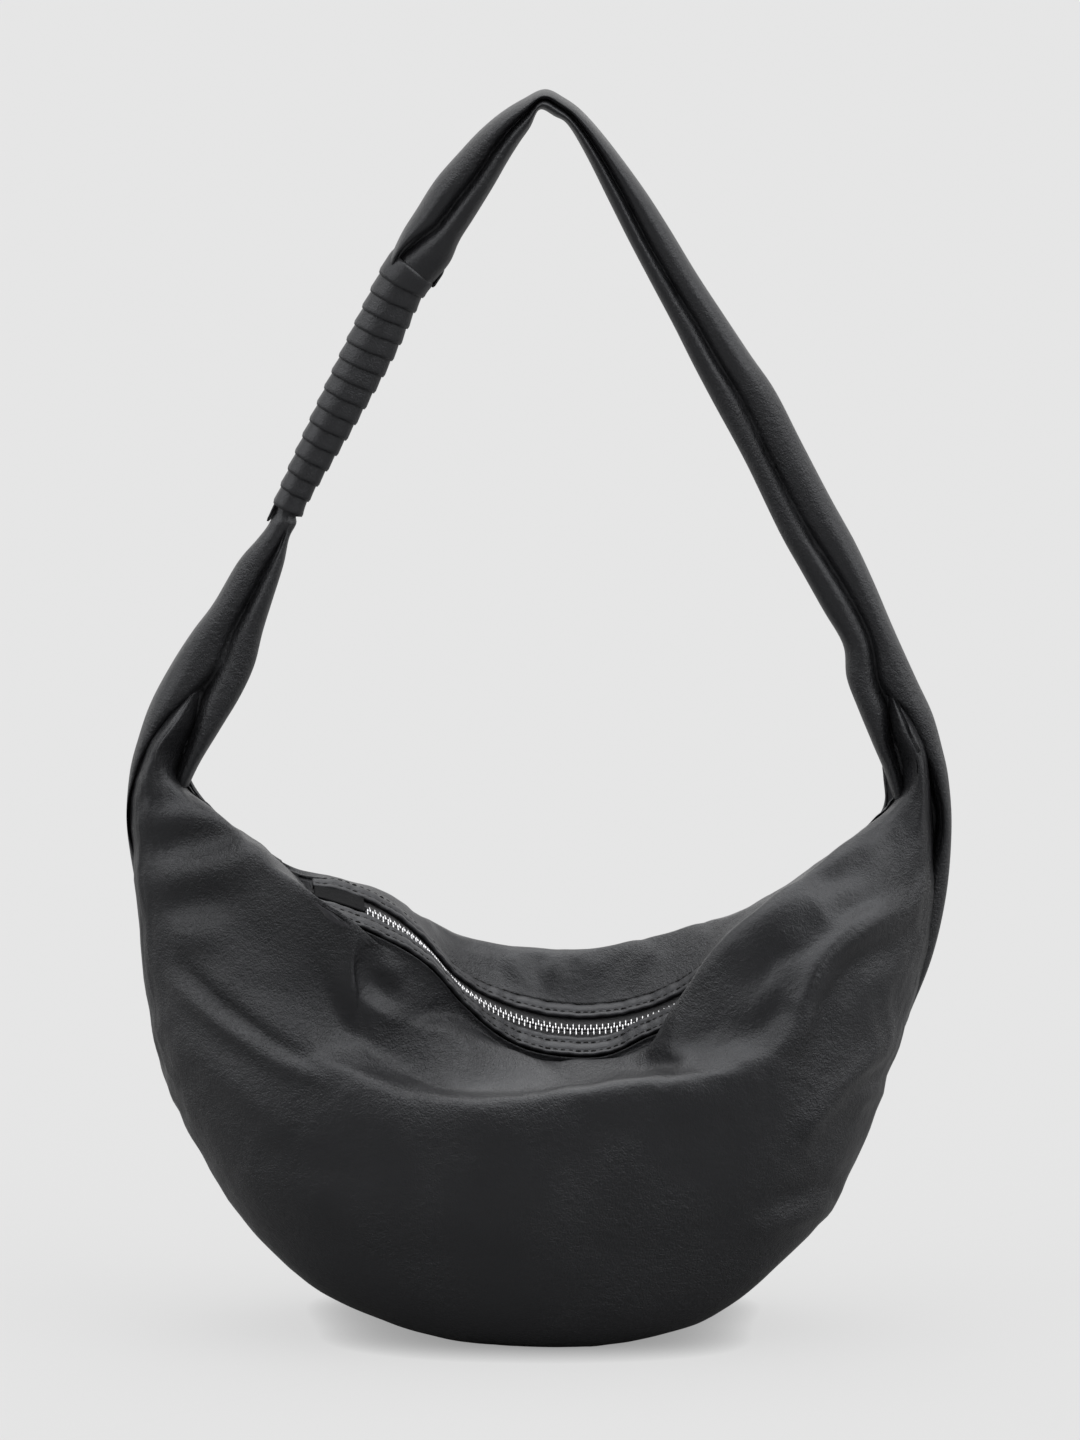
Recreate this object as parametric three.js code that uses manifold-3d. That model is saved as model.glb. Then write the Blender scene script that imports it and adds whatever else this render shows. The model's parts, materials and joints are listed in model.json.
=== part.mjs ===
// A slouchy crescent hobo bag in black leather: two curved panels, a zip set in a facing along the
// dipped top, a lining with a slip pocket, and one folded leather strap with a laced grip.
// Millimetres, +Z up, +Y towards the back panel. The pieces are laid out from the seam plane, and
// the whole bag is then centred over the origin, which is on the floor.

import * as THREE from 'three';
import Module from 'manifold-3d';
import { mergeVertices } from 'three/addons/utils/BufferGeometryUtils.js';

// ---------------------------------------------------------------- driving dimensions

const LEATHER = 2.0; // panel leather with its backing
const STRAP_LEATHER = 1.6;
const LINING = 0.8;
const LAYER_GAP = 0.5; // between leather, lining and pocket
const SEAM_GAP = 0.4; // half the gap between the two panels along the seam
const HORN_TOP = 236; // where the panels end and the strap begins

const ZIP_TILT = THREE.MathUtils.degToRad(28.5); // lean of the zip band, back edge up
const ZIP_LOW = [18, 5, 126]; // lowest point of the chain
const ZIP_RADIUS = 69.3; // of the arc that the slider runs along
const ZIP_HALF_ARC = THREE.MathUtils.degToRad(60);
const ZIP_TAIL_RADIUS = 80; // the left end curves back the other way
const ZIP_TAIL_END = THREE.MathUtils.degToRad(27); // slope left at the tail's far end
const TOOTH_PITCH = 2.5;
const TOOTH_TIP = 0.8; // from the middle of the chain
const TOOTH_ROOT = 2.8;
const CHAIN_HALF_THICKNESS = 1.3;
const BEAD_EDGE = 3.4;
const TAPE_EDGE = 13;
const TAPE_HALF_THICKNESS = 0.4;
const FACING_INNER = 6.8; // from the middle of the chain to the leather edge
const FACING_OUTER = 17.6;
const FACING_LEATHER = 1.6;
const RIM_OFFSET = 19.2; // where the panel starts, clear of the facing

const SLIDER_LENGTH = 11;
const SLIDER_HALF_WIDTH = 4.75;
const SLIDER_PLATE = 1.2;
const SLIDER_INSIDE = 1.8; // from the chain's middle to the inside of each plate
const SLIDER_REST = THREE.MathUtils.degToRad(53); // place on the arc when the bag is shut
const PULLER_LENGTH = 22;
const PULLER_HALF_WIDTH = 3.5;
const PULLER_THICKNESS = 1.4;
const PULLER_PIVOT = 4.5; // height of the pivot above the chain's middle
const PULLER_TILT = THREE.MathUtils.degToRad(5); // clears the rising chain
const STOP_LENGTH = 2;
const STOP_INNER = 0.6; // each top stop's reach across the chain
const STOP_OUTER = 3.3;
const END_TAB_LENGTH = 7; // the leather tabs across the tape's ends
const END_TAB_HALF_WIDTH = 4;
const END_TAB_GAP = 0.5;

const FOLD_AXIS_Z = 270; // the strap folds about an X axis at this height
const STRAP_END_Z = FOLD_AXIS_Z - 13;
const ROOT_TOP_Z = FOLD_AXIS_Z - 15.8;
const ROOT_BOTTOM_Z = HORN_TOP + 0.6;
const SLIT_HALF_ANGLE = 0.12; // half the opening where the strap's folded edges meet

const WRAP_LACE = 1.6; // thickness of the grip's leather lace
const WRAP_PITCH = 7.6;
const WRAP_TURNS = 15;
const WRAP_BAND = 7.2; // width of the lace along the strap

// Each line runs from the left horn, round under the base, to the right horn, through the same
// eleven stations. Y is the distance out from the seam plane, front or back.
const SEAM_LINE = [
  [-171, 0, HORN_TOP], [-172, 0, 205], [-160, 0, 145], [-136, 0, 74], [-75, 0, 11], [0, 0, -6],
  [72, 0, 14], [128, 0, 70], [152, 0, 132], [171, 0, 195], [170, 0, HORN_TOP]];
const LOW_LINE = [
  [-167, 7, HORN_TOP], [-169, 12, 205], [-156, 18, 148], [-128, 30, 78], [-70, 38, 12], [0, 38, -3],
  [68, 38, 14], [120, 32, 74], [148, 22, 134], [167, 14, 195], [166, 7, HORN_TOP]];
const BELLY_LINE = [
  [-161, 9, HORN_TOP], [-160, 19, 206], [-146, 34, 150], [-112, 50, 90], [-62, 62, 58], [0, 64, 52],
  [60, 62, 60], [106, 54, 92], [134, 42, 142], [158, 22, 196], [160, 9, HORN_TOP]];
const FRONT_LIP_LINE = [
  [-154, 9, HORN_TOP], [-150, 22, 205], [-128, 42, 152], [-92, 56, 122], [-50, 62, 110], [0, 63, 109],
  [50, 62, 117], [92, 57, 125], [118, 48, 152], [146, 24, 198], [153, 9, HORN_TOP]];
const FRONT_RIDGE_LINE = [
  [-148, 6, HORN_TOP], [-138, 16, 218], [-104, 38, 197], [-74, 47, 170], [-46, 43, 138], [-4, 36, 117],
  [45, 35, 127], [70, 38, 160], [96, 36, 188], [128, 22, 212], [146, 6, HORN_TOP]];
const BACK_SHOULDER_LINE = [
  [-154, 9, HORN_TOP], [-150, 22, 205], [-134, 38, 165], [-100, 50, 142], [-52, 55, 128], [0, 56, 122],
  [50, 55, 128], [96, 50, 145], [128, 38, 172], [150, 22, 205], [153, 9, HORN_TOP]];
const BACK_TOP_LINE = [
  [-148, 6, HORN_TOP], [-136, 12, 220], [-108, 20, 197], [-78, 22, 186], [-46, 27, 170], [0, 32, 158],
  [42, 33, 161], [80, 31, 173], [104, 26, 187], [130, 14, 212], [146, 6, HORN_TOP]];
// Past the ends of the zip the two panels close up on the way to each horn.
const LEFT_CLOSURE = [[-145, 0.8, HORN_TOP], [-130, 1.2, 218], [-104, 3, 201]];
const RIGHT_CLOSURE = [[101, 3, 187], [125, 1.2, 212], [143, 0.8, HORN_TOP]];

// The strap from its left end over the top to its right end: x, z, half its width seen from the
// front, half its depth.
const STRAP_STATIONS = [
  [-148.5, STRAP_END_Z, 15, 8], [-131, 296, 13, 8], [-117, 325, 8.5, 6.5], [-107, 341, 4.2, 4.4],
  [-95, 370, 4.6, 5], [-72, 416, 6.8, 6.8], [-60, 440, 7.3, 8], [-50, 456, 9.6, 10],
  [-38, 476, 10.2, 12], [-22, 499, 8.8, 14], [2, 520, 4.2, 16], [19, 508, 5.6, 15],
  [50, 456, 9, 12], [86, 394, 12.2, 10], [120, 327, 12.2, 8], [149.5, STRAP_END_Z, 13, 8]];
const WRAP_START = 3.05; // station numbers along the strap
const LEFT_ROOT = [[-151, ROOT_TOP_Z, 14, 8], [-158, ROOT_BOTTOM_Z, 12.5, 8]];
const RIGHT_ROOT = [[151, ROOT_TOP_Z, 13, 8], [156.5, ROOT_BOTTOM_Z, 12.5, 8]];

// ---------------------------------------------------------------- materials

const material = (color, roughness, metalness = 0) =>
  new THREE.MeshStandardMaterial({ color, roughness, metalness });
const leather = () => material(0x1b1b1d, 0.45);
const liningCloth = () => material(0x26262a, 0.9);
const tapeCloth = () => material(0x111113, 0.85);
const brightMetal = () => material(0xc9c9cc, 0.25, 1);

// ---------------------------------------------------------------- closed solids from grids

const X_AXIS = new THREE.Vector3(1, 0, 0);

/** A geometry from points and triangles, with its faces turned outwards. */
function closedGeometry(points, triangles) {
  let volume = 0;
  for (const [a, b, c] of triangles) {
    volume += points[a].dot(new THREE.Vector3().crossVectors(points[b], points[c]));
  }
  const order = volume > 0 ? triangles : triangles.map(([a, b, c]) => [a, c, b]);
  const geometry = new THREE.BufferGeometry();
  geometry.setAttribute('position',
    new THREE.Float32BufferAttribute(points.flatMap((p) => p.toArray()), 3));
  geometry.setIndex(order.flat());
  return geometry;
}

/** The solid between two grids of the same size, such as the two faces of a curved sheet. */
function sheetBetween(outer, inner) {
  const rows = outer.length;
  const columns = outer[0].length;
  const points = [...outer.flat(), ...inner.flat()];
  const at = (layer, i, j) => layer * rows * columns + i * columns + j;
  const triangles = [];
  const quad = (a, b, c, d) => triangles.push([a, b, c], [a, c, d]);
  for (let i = 0; i < rows - 1; i++) {
    for (let j = 0; j < columns - 1; j++) {
      quad(at(0, i, j), at(0, i, j + 1), at(0, i + 1, j + 1), at(0, i + 1, j));
      quad(at(1, i, j), at(1, i + 1, j), at(1, i + 1, j + 1), at(1, i, j + 1));
    }
  }
  for (let j = 0; j < columns - 1; j++) {
    quad(at(0, 0, j), at(1, 0, j), at(1, 0, j + 1), at(0, 0, j + 1));
    quad(at(0, rows - 1, j), at(0, rows - 1, j + 1), at(1, rows - 1, j + 1), at(1, rows - 1, j));
  }
  for (let i = 0; i < rows - 1; i++) {
    quad(at(0, i, 0), at(0, i + 1, 0), at(1, i + 1, 0), at(1, i, 0));
    quad(at(0, i, columns - 1), at(1, i, columns - 1), at(1, i + 1, columns - 1), at(0, i + 1, columns - 1));
  }
  return closedGeometry(points, triangles);
}

/** The solid through a row of four-cornered sections. */
function bandThrough(sections) {
  return sheetBetween(sections.map((s) => [s[0], s[1]]), sections.map((s) => [s[3], s[2]]));
}

/** A grid of count + 1 values from low to high. */
function steps(low, high, count) {
  return Array.from({ length: count + 1 }, (_, i) => low + ((high - low) * i) / count);
}

/** A smooth line through points, read by a share of its stations from 0 to 1. */
function lineThrough(points) {
  return new THREE.CatmullRomCurve3(points.map((p) => new THREE.Vector3(...p)));
}

// ---------------------------------------------------------------- zip band

const ACROSS_ZIP = new THREE.Vector3(0, Math.cos(ZIP_TILT), Math.sin(ZIP_TILT));
const ZIP_RISE = new THREE.Vector3(0, -Math.sin(ZIP_TILT), Math.cos(ZIP_TILT));
const TAIL_LENGTH = ZIP_TAIL_RADIUS * (ZIP_HALF_ARC - ZIP_TAIL_END);
const ARC_LENGTH = 2 * ZIP_HALF_ARC * ZIP_RADIUS;
const ZIP_LENGTH = TAIL_LENGTH + ARC_LENGTH;

/** The point at a length along the chain from its left end, a distance across it and above it. */
function zipPoint(along, across, above) {
  let slope, x, rise;
  if (along < TAIL_LENGTH) {
    slope = -ZIP_TAIL_END - along / ZIP_TAIL_RADIUS;
    x = ZIP_LOW[0] - ZIP_RADIUS * Math.sin(ZIP_HALF_ARC)
      - ZIP_TAIL_RADIUS * (Math.sin(ZIP_HALF_ARC) - Math.sin(-slope));
    rise = ZIP_RADIUS * (1 - Math.cos(ZIP_HALF_ARC))
      + ZIP_TAIL_RADIUS * (Math.cos(slope) - Math.cos(ZIP_HALF_ARC));
  } else {
    slope = (along - TAIL_LENGTH) / ZIP_RADIUS - ZIP_HALF_ARC;
    x = ZIP_LOW[0] + ZIP_RADIUS * Math.sin(slope);
    rise = ZIP_RADIUS * (1 - Math.cos(slope));
  }
  return new THREE.Vector3(...ZIP_LOW)
    .addScaledVector(X_AXIS, x - ZIP_LOW[0] - above * Math.sin(slope))
    .addScaledVector(ZIP_RISE, rise + above * Math.cos(slope))
    .addScaledVector(ACROSS_ZIP, across);
}

/** A flat band that follows the chain, between two distances across it and two heights. */
function zipBand(start, end, near, far, bottom, top, count) {
  return bandThrough(steps(start, end, count).map((s) => [
    zipPoint(s, near, top), zipPoint(s, far, top), zipPoint(s, far, bottom), zipPoint(s, near, bottom)]));
}

/** One row of teeth, on the bead that clamps the tape's edge. */
function toothRow(side) {
  const first = side < 0 ? TOOTH_PITCH : 1.5 * TOOTH_PITCH; // the rows interlock, half a pitch apart
  const sections = [];
  for (let s = first; s < ZIP_LENGTH - 2 * TOOTH_PITCH; s += TOOTH_PITCH / 2) {
    const isTip = sections.length % 2 === 1;
    const inner = side * (isTip ? TOOTH_TIP : TOOTH_ROOT);
    sections.push([
      zipPoint(s, inner, CHAIN_HALF_THICKNESS), zipPoint(s, side * BEAD_EDGE, CHAIN_HALF_THICKNESS),
      zipPoint(s, side * BEAD_EDGE, -CHAIN_HALF_THICKNESS), zipPoint(s, inner, -CHAIN_HALF_THICKNESS)]);
  }
  return bandThrough(sections);
}

// ---------------------------------------------------------------- panels

const STATION_COUNT = SEAM_LINE.length - 1;
const LEFT_CLOSURE_END = LEFT_CLOSURE.length / STATION_COUNT;
const RIGHT_CLOSURE_START = 1 - RIGHT_CLOSURE.length / STATION_COUNT;

/** The panel's upper edge, along the zip facing and then closing up towards each horn. */
function rimLine(side) {
  const outward = ([x, y, z]) => [x, side * y, z];
  const zipEnd = (s) => zipPoint(s, side * RIM_OFFSET, 0).toArray();
  const left = lineThrough([...LEFT_CLOSURE.map(outward), zipEnd(0)]);
  const right = lineThrough([zipEnd(ZIP_LENGTH), ...RIGHT_CLOSURE.map(outward)]);
  return (u) => {
    if (u < LEFT_CLOSURE_END) return left.getPoint(u / LEFT_CLOSURE_END);
    if (u > RIGHT_CLOSURE_START) return right.getPoint((u - RIGHT_CLOSURE_START) / (1 - RIGHT_CLOSURE_START));
    const share = (u - LEFT_CLOSURE_END) / (RIGHT_CLOSURE_START - LEFT_CLOSURE_END);
    return zipPoint(share * ZIP_LENGTH, side * RIM_OFFSET, 0);
  };
}

/** A panel's outer surface: u runs from horn to horn, v from the seam to the rim. */
function panelSurface(side, lines) {
  const curves = lines.map((line) => lineThrough(line.map(([x, y, z]) => [x, side * (y + SEAM_GAP), z])));
  const rim = rimLine(side);
  return (u, v) => {
    const section = new THREE.CatmullRomCurve3([...curves.map((curve) => curve.getPoint(u)), rim(u)]);
    const point = section.getPoint(v);
    point.z = Math.max(point.z, 0); // the base rests flat
    point.y = side * Math.max(side * point.y, SEAM_GAP);
    return point;
  };
}

/** A point a depth inside a surface. */
function insidePoint(surface, side, u, v, depth) {
  const STEP = 0.004;
  const clampedPoint = (a, b) => surface(THREE.MathUtils.clamp(a, 0, 1), THREE.MathUtils.clamp(b, 0, 1));
  const alongU = clampedPoint(u + STEP, v).sub(clampedPoint(u - STEP, v));
  const alongV = clampedPoint(u, v + STEP).sub(clampedPoint(u, v - STEP));
  const inward = alongU.cross(alongV).normalize().multiplyScalar(side);
  const point = surface(u, v).addScaledVector(inward, depth);
  point.y = side * Math.max(side * point.y, SEAM_GAP); // never past the seam plane
  return point;
}

/** A curved sheet of leather or cloth between two depths inside a panel's surface. */
function panelSheet(surface, side, us, vs, depth, thickness) {
  const layer = (d) => us.map((u) => vs.map((v) => insidePoint(surface, side, u, v, d)));
  return sheetBetween(layer(depth), layer(depth + thickness));
}

const FRONT = -1;
const BACK = 1;
const frontSurface = panelSurface(FRONT,
  [SEAM_LINE, LOW_LINE, BELLY_LINE, FRONT_LIP_LINE, FRONT_RIDGE_LINE]);
const backSurface = panelSurface(BACK,
  [SEAM_LINE, LOW_LINE, BELLY_LINE, BACK_SHOULDER_LINE, BACK_TOP_LINE]);
const PANEL_US = steps(0, 1, 20); // with a grid line at each end of the zip
const PANEL_VS = steps(0, 1, 10);
// Inner layers share the panel's grid lines, so that their facets lie parallel to its own.
const LINING_US = PANEL_US.slice(3, -3);
const LINING_VS = PANEL_VS.slice(1, -1);
const POCKET_US = PANEL_US.slice(8, -8);
const POCKET_VS = PANEL_VS.slice(4, 8);

/** The tape that covers the seam inside, reaching a little way over each panel. */
function seamBinding() {
  const REACH = 0.25; // share of the way to the panels' next grid line
  const THICKNESS = 0.8;
  const edge = (surface, side, u, depth) => insidePoint(surface, side, u, PANEL_VS[0], depth)
    .lerp(insidePoint(surface, side, u, PANEL_VS[1], depth), REACH);
  const under = LEATHER + LAYER_GAP;
  const over = under + THICKNESS;
  return bandThrough(LINING_US.map((u) => [
    edge(frontSurface, FRONT, u, under), edge(backSurface, BACK, u, under),
    edge(backSurface, BACK, u, over), edge(frontSurface, FRONT, u, over)]));
}

// ---------------------------------------------------------------- strap

/**
 * Reads a strap's middle, sideways direction, width and depth at a share of its stations. The
 * sections lie square to the strap, and level near its two ends.
 */
function strapPath(stations) {
  const LEVEL_STATIONS = 1.5; // where the sections have turned square, counted from an end
  const count = stations.length - 1;
  const middle = lineThrough(stations.map(([x, z]) => [x, 0, z]));
  const sizes = lineThrough(stations.map(([, , width, depth]) => [width, depth, 0]));
  return (t) => {
    const tangent = middle.getTangent(t);
    const size = sizes.getPoint(t);
    const level = THREE.MathUtils.clamp(LEVEL_STATIONS - count * Math.min(t, 1 - t), 0, 1);
    const levelSide = X_AXIS.clone().multiplyScalar(Math.sign(tangent.z));
    return {
      middle: middle.getPoint(t),
      side: new THREE.Vector3(tangent.z, 0, -tangent.x).lerp(levelSide, level).normalize(),
      width: size.x,
      depth: size.y,
    };
  };
}

/** A point on an oval round the strap's middle, its angle counted from the front. */
function ovalPoint({ middle, side, width, depth }, angle, margin) {
  return middle.clone()
    .addScaledVector(side, (width + margin) * Math.sin(angle))
    .add(new THREE.Vector3(0, -(depth + margin) * Math.cos(angle), 0));
}

/** Leather folded into a tube whose edges meet along the front. */
function foldedTube(path, ts) {
  const angles = steps(SLIT_HALF_ANGLE, 2 * Math.PI - SLIT_HALF_ANGLE, 12);
  const layer = (margin) => ts.map((t) => angles.map((angle) => ovalPoint(path(t), angle, margin)));
  return sheetBetween(layer(0), layer(-STRAP_LEATHER));
}

/** The flat tape folded into the strap so that it doesn't stretch. */
function strapTape(path, ts) {
  const FILL = 0.6; // share of the folded leather's inside width
  const HALF_THICKNESS = 0.7;
  return bandThrough(ts.map((t) => {
    const { middle, side, width } = path(t);
    const corner = (a, b) => middle.clone()
      .addScaledVector(side, a * FILL * (width - STRAP_LEATHER))
      .add(new THREE.Vector3(0, b * HALF_THICKNESS, 0));
    return [corner(-1, -1), corner(1, -1), corner(1, 1), corner(-1, 1)];
  }));
}

/** A flat lace wound round the strap, each turn lying against the next. */
function lacedWrap(path, stationLength) {
  const SECTIONS_PER_TURN = 10;
  const LACE_GAP = 0.8;
  const sections = [];
  for (let k = 0; k <= WRAP_TURNS * SECTIONS_PER_TURN; k++) {
    const turns = k / SECTIONS_PER_TURN;
    const angle = 2 * Math.PI * turns;
    const low = stationLength(turns * WRAP_PITCH);
    const high = stationLength(turns * WRAP_PITCH + WRAP_BAND);
    sections.push([
      ovalPoint(path(low), angle, LACE_GAP + WRAP_LACE), ovalPoint(path(high), angle, LACE_GAP + WRAP_LACE),
      ovalPoint(path(high), angle, LACE_GAP), ovalPoint(path(low), angle, LACE_GAP)]);
  }
  return bandThrough(sections);
}

/** Turns a length along the strap past the wrap's start into a share of its stations. */
function stationAtLength(stations, startStation) {
  const count = stations.length - 1;
  const middle = lineThrough(stations.map(([x, z]) => [x, 0, z]));
  const SAMPLES_PER_STATION = 1000;
  const table = [];
  let length = 0;
  let previous = middle.getPoint(startStation / count);
  for (let station = startStation; station < count; station += 1 / SAMPLES_PER_STATION) {
    const point = middle.getPoint(station / count);
    length += point.distanceTo(previous);
    previous = point;
    table.push([length, station / count]);
  }
  return (wanted) => table.find(([reached]) => reached >= wanted)[1];
}

// ---------------------------------------------------------------- slider and puller

/** Places a shape drawn along the chain, across it and above it at the slider's rest place. */
function atSlider(geometry) {
  const origin = zipPoint(TAIL_LENGTH + (SLIDER_REST + ZIP_HALF_ARC) * ZIP_RADIUS, 0, 0);
  const along = X_AXIS.clone().multiplyScalar(Math.cos(SLIDER_REST)).addScaledVector(ZIP_RISE, Math.sin(SLIDER_REST));
  const above = along.clone().cross(ACROSS_ZIP);
  const place = new THREE.Matrix4().makeBasis(along, ACROSS_ZIP, above).setPosition(origin);
  return geometry.applyMatrix4(place);
}

const wasm = await Module();
wasm.setup();

/** One solid made by joining closed geometries that overlap. */
function joined(...geometries) {
  const solids = geometries.map((geometry) => {
    const bare = geometry.clone();
    bare.deleteAttribute('normal');
    bare.deleteAttribute('uv');
    const merged = mergeVertices(bare, 1e-4);
    return new wasm.Manifold(new wasm.Mesh({
      numProp: 3,
      vertProperties: new Float32Array(merged.getAttribute('position').array),
      triVerts: new Uint32Array(merged.getIndex().array),
    }));
  });
  const { vertProperties, triVerts } = solids.reduce((a, b) => a.add(b)).getMesh();
  const geometry = new THREE.BufferGeometry();
  geometry.setAttribute('position', new THREE.BufferAttribute(new Float32Array(vertProperties), 3));
  geometry.setIndex(new THREE.BufferAttribute(new Uint32Array(triVerts), 1));
  return geometry;
}

/** A block centred across the chain, between two places along it and two heights. */
function block(start, end, halfWidth, bottom, top) {
  return new THREE.BoxGeometry(end - start, 2 * halfWidth, top - bottom)
    .translate((start + end) / 2, 0, (bottom + top) / 2);
}

/** Two plates joined by a post between the tooth rows, with a bridge that holds the puller. */
function sliderBody() {
  const half = SLIDER_LENGTH / 2;
  const outside = SLIDER_INSIDE + SLIDER_PLATE;
  const OVERLAP = 0.2;
  const POST_HALF_WIDTH = 0.45;
  const BRIDGE_HALF_WIDTH = 1.1;
  const BRIDGE_LEG = 1.4;
  const BRIDGE_HALF_LENGTH = 4.2;
  const BRIDGE_THICKNESS = 1.1;
  const BAR_ROOM = 1.3; // from the puller's pivot to the underside of the bridge
  const POST_START = half - 4;
  const POST_END = half - 1;
  const bridgeUnder = PULLER_PIVOT + BAR_ROOM;
  const bridgeOver = bridgeUnder + BRIDGE_THICKNESS;
  const legStart = BRIDGE_HALF_LENGTH - BRIDGE_LEG;
  return joined(
    block(-half, half, SLIDER_HALF_WIDTH, SLIDER_INSIDE, outside),
    block(-half, half, SLIDER_HALF_WIDTH, -outside, -SLIDER_INSIDE),
    block(POST_START, POST_END, POST_HALF_WIDTH, -SLIDER_INSIDE - OVERLAP, SLIDER_INSIDE + OVERLAP),
    block(-BRIDGE_HALF_LENGTH, -legStart, BRIDGE_HALF_WIDTH, outside - OVERLAP, bridgeOver),
    block(legStart, BRIDGE_HALF_LENGTH, BRIDGE_HALF_WIDTH, outside - OVERLAP, bridgeOver),
    block(-BRIDGE_HALF_LENGTH, BRIDGE_HALF_LENGTH, BRIDGE_HALF_WIDTH, bridgeUnder, bridgeOver));
}

/** A flat tab with an eye round the bridge, its pivot bar under the bridge, lying towards the zip's end. */
function pullerTab() {
  const BAR = 0.7;
  const EYE_LENGTH = 6.5;
  const EYE_HALF_WIDTH = 2;
  const outline = new THREE.Shape();
  outline.moveTo(-BAR, PULLER_HALF_WIDTH);
  outline.lineTo(-BAR, -PULLER_HALF_WIDTH);
  outline.lineTo(PULLER_LENGTH - PULLER_HALF_WIDTH, -PULLER_HALF_WIDTH);
  outline.absarc(PULLER_LENGTH - PULLER_HALF_WIDTH, 0, PULLER_HALF_WIDTH, -Math.PI / 2, Math.PI / 2, false);
  const eye = new THREE.Path();
  eye.moveTo(BAR, EYE_HALF_WIDTH);
  eye.lineTo(EYE_LENGTH, EYE_HALF_WIDTH);
  eye.lineTo(EYE_LENGTH, -EYE_HALF_WIDTH);
  eye.lineTo(BAR, -EYE_HALF_WIDTH);
  outline.holes.push(eye);
  return new THREE.ExtrudeGeometry(outline, { depth: PULLER_THICKNESS, bevelEnabled: false, curveSegments: 8 })
    .translate(0, 0, -PULLER_THICKNESS / 2)
    .rotateY(-PULLER_TILT)
    .translate(0, 0, PULLER_PIVOT);
}

// ---------------------------------------------------------------- assembly

const bag = new THREE.Group();
function add(name, geometry, look) {
  const mesh = new THREE.Mesh(geometry, look);
  mesh.name = name;
  bag.add(mesh);
}

add('front_panel', panelSheet(frontSurface, FRONT, PANEL_US, PANEL_VS, 0, LEATHER), leather());
add('back_panel', panelSheet(backSurface, BACK, PANEL_US, PANEL_VS, 0, LEATHER), leather());

const liningDepth = LEATHER + LAYER_GAP;
add('lining_front', panelSheet(frontSurface, FRONT, LINING_US, LINING_VS, liningDepth, LINING), liningCloth());
add('lining_back', panelSheet(backSurface, BACK, LINING_US, LINING_VS, liningDepth, LINING), liningCloth());
const pocketDepth = liningDepth + LINING + LAYER_GAP;
add('slip_pocket',
  panelSheet(backSurface, BACK, POCKET_US, POCKET_VS, pocketDepth, LINING), liningCloth());
add('seam_binding', seamBinding(), tapeCloth());

const FACING_BOTTOM = TAPE_HALF_THICKNESS + 0.3;
const FACING_TOP = FACING_BOTTOM + FACING_LEATHER;
const BAND_STEPS = 24;
for (const [name, side] of [['front', FRONT], ['back', BACK]]) {
  add(`zip_facing_${name}`, zipBand(0, ZIP_LENGTH, side * FACING_INNER, side * FACING_OUTER,
    FACING_BOTTOM, FACING_TOP, BAND_STEPS), leather());
  add(`zip_tape_${name}`, zipBand(1, ZIP_LENGTH - 1, side * (BEAD_EDGE + 0.3), side * TAPE_EDGE,
    -TAPE_HALF_THICKNESS, TAPE_HALF_THICKNESS, BAND_STEPS), tapeCloth());
  add(`zip_teeth_${name}`, toothRow(side), brightMetal());
}

const topStopEnd = ZIP_LENGTH - 1;
for (const [name, side] of [['front', FRONT], ['back', BACK]]) {
  add(`zip_top_stop_${name}`, zipBand(topStopEnd - STOP_LENGTH, topStopEnd, side * STOP_INNER,
    side * STOP_OUTER, -CHAIN_HALF_THICKNESS, CHAIN_HALF_THICKNESS, 1), brightMetal());
}
const bottomStopEnd = 0.7 * TOOTH_PITCH;
const bottomStopStart = bottomStopEnd - 1.6 * STOP_LENGTH;
add('zip_bottom_stop', zipBand(bottomStopStart, bottomStopEnd, -STOP_OUTER, STOP_OUTER,
  -CHAIN_HALF_THICKNESS, CHAIN_HALF_THICKNESS, 2), brightMetal());

/** A flat leather tab across the chain's line, its near end at a length along it. */
const endTab = (start) => zipBand(start, start + END_TAB_LENGTH, -END_TAB_HALF_WIDTH, END_TAB_HALF_WIDTH,
  -FACING_LEATHER / 2, FACING_LEATHER / 2, 3);
add('zip_end_tab_left', endTab(bottomStopStart - END_TAB_GAP - END_TAB_LENGTH), leather());
add('zip_end_tab_right', endTab(ZIP_LENGTH + END_TAB_GAP), leather());

add('zip_slider', atSlider(sliderBody()), brightMetal());
add('zip_puller', atSlider(pullerTab()), brightMetal());

const strap = strapPath(STRAP_STATIONS);
const STRAP_TS = steps(0, 1, 38);
add('strap_leather', foldedTube(strap, STRAP_TS), leather());
add('strap_tape', strapTape(strap, STRAP_TS), tapeCloth());
add('strap_wrap', lacedWrap(strap, stationAtLength(STRAP_STATIONS, WRAP_START)), leather());
add('strap_root_left', foldedTube(strapPath(LEFT_ROOT), steps(0, 1, 2)), leather());
add('strap_root_right', foldedTube(strapPath(RIGHT_ROOT), steps(0, 1, 2)), leather());

// The origin is the middle of the whole bag's box, on the floor.
const box = new THREE.Box3().setFromObject(bag);
const middle = box.getCenter(new THREE.Vector3());
bag.position.set(-middle.x, -middle.y, -box.min.z);

export default bag;
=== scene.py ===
# A slouchy black leather hobo bag: soft panels, an inset metal zip and a folded strap with a laced grip.
import json
import math

import bmesh
import bpy
import numpy as np
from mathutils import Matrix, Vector, noise


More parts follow.
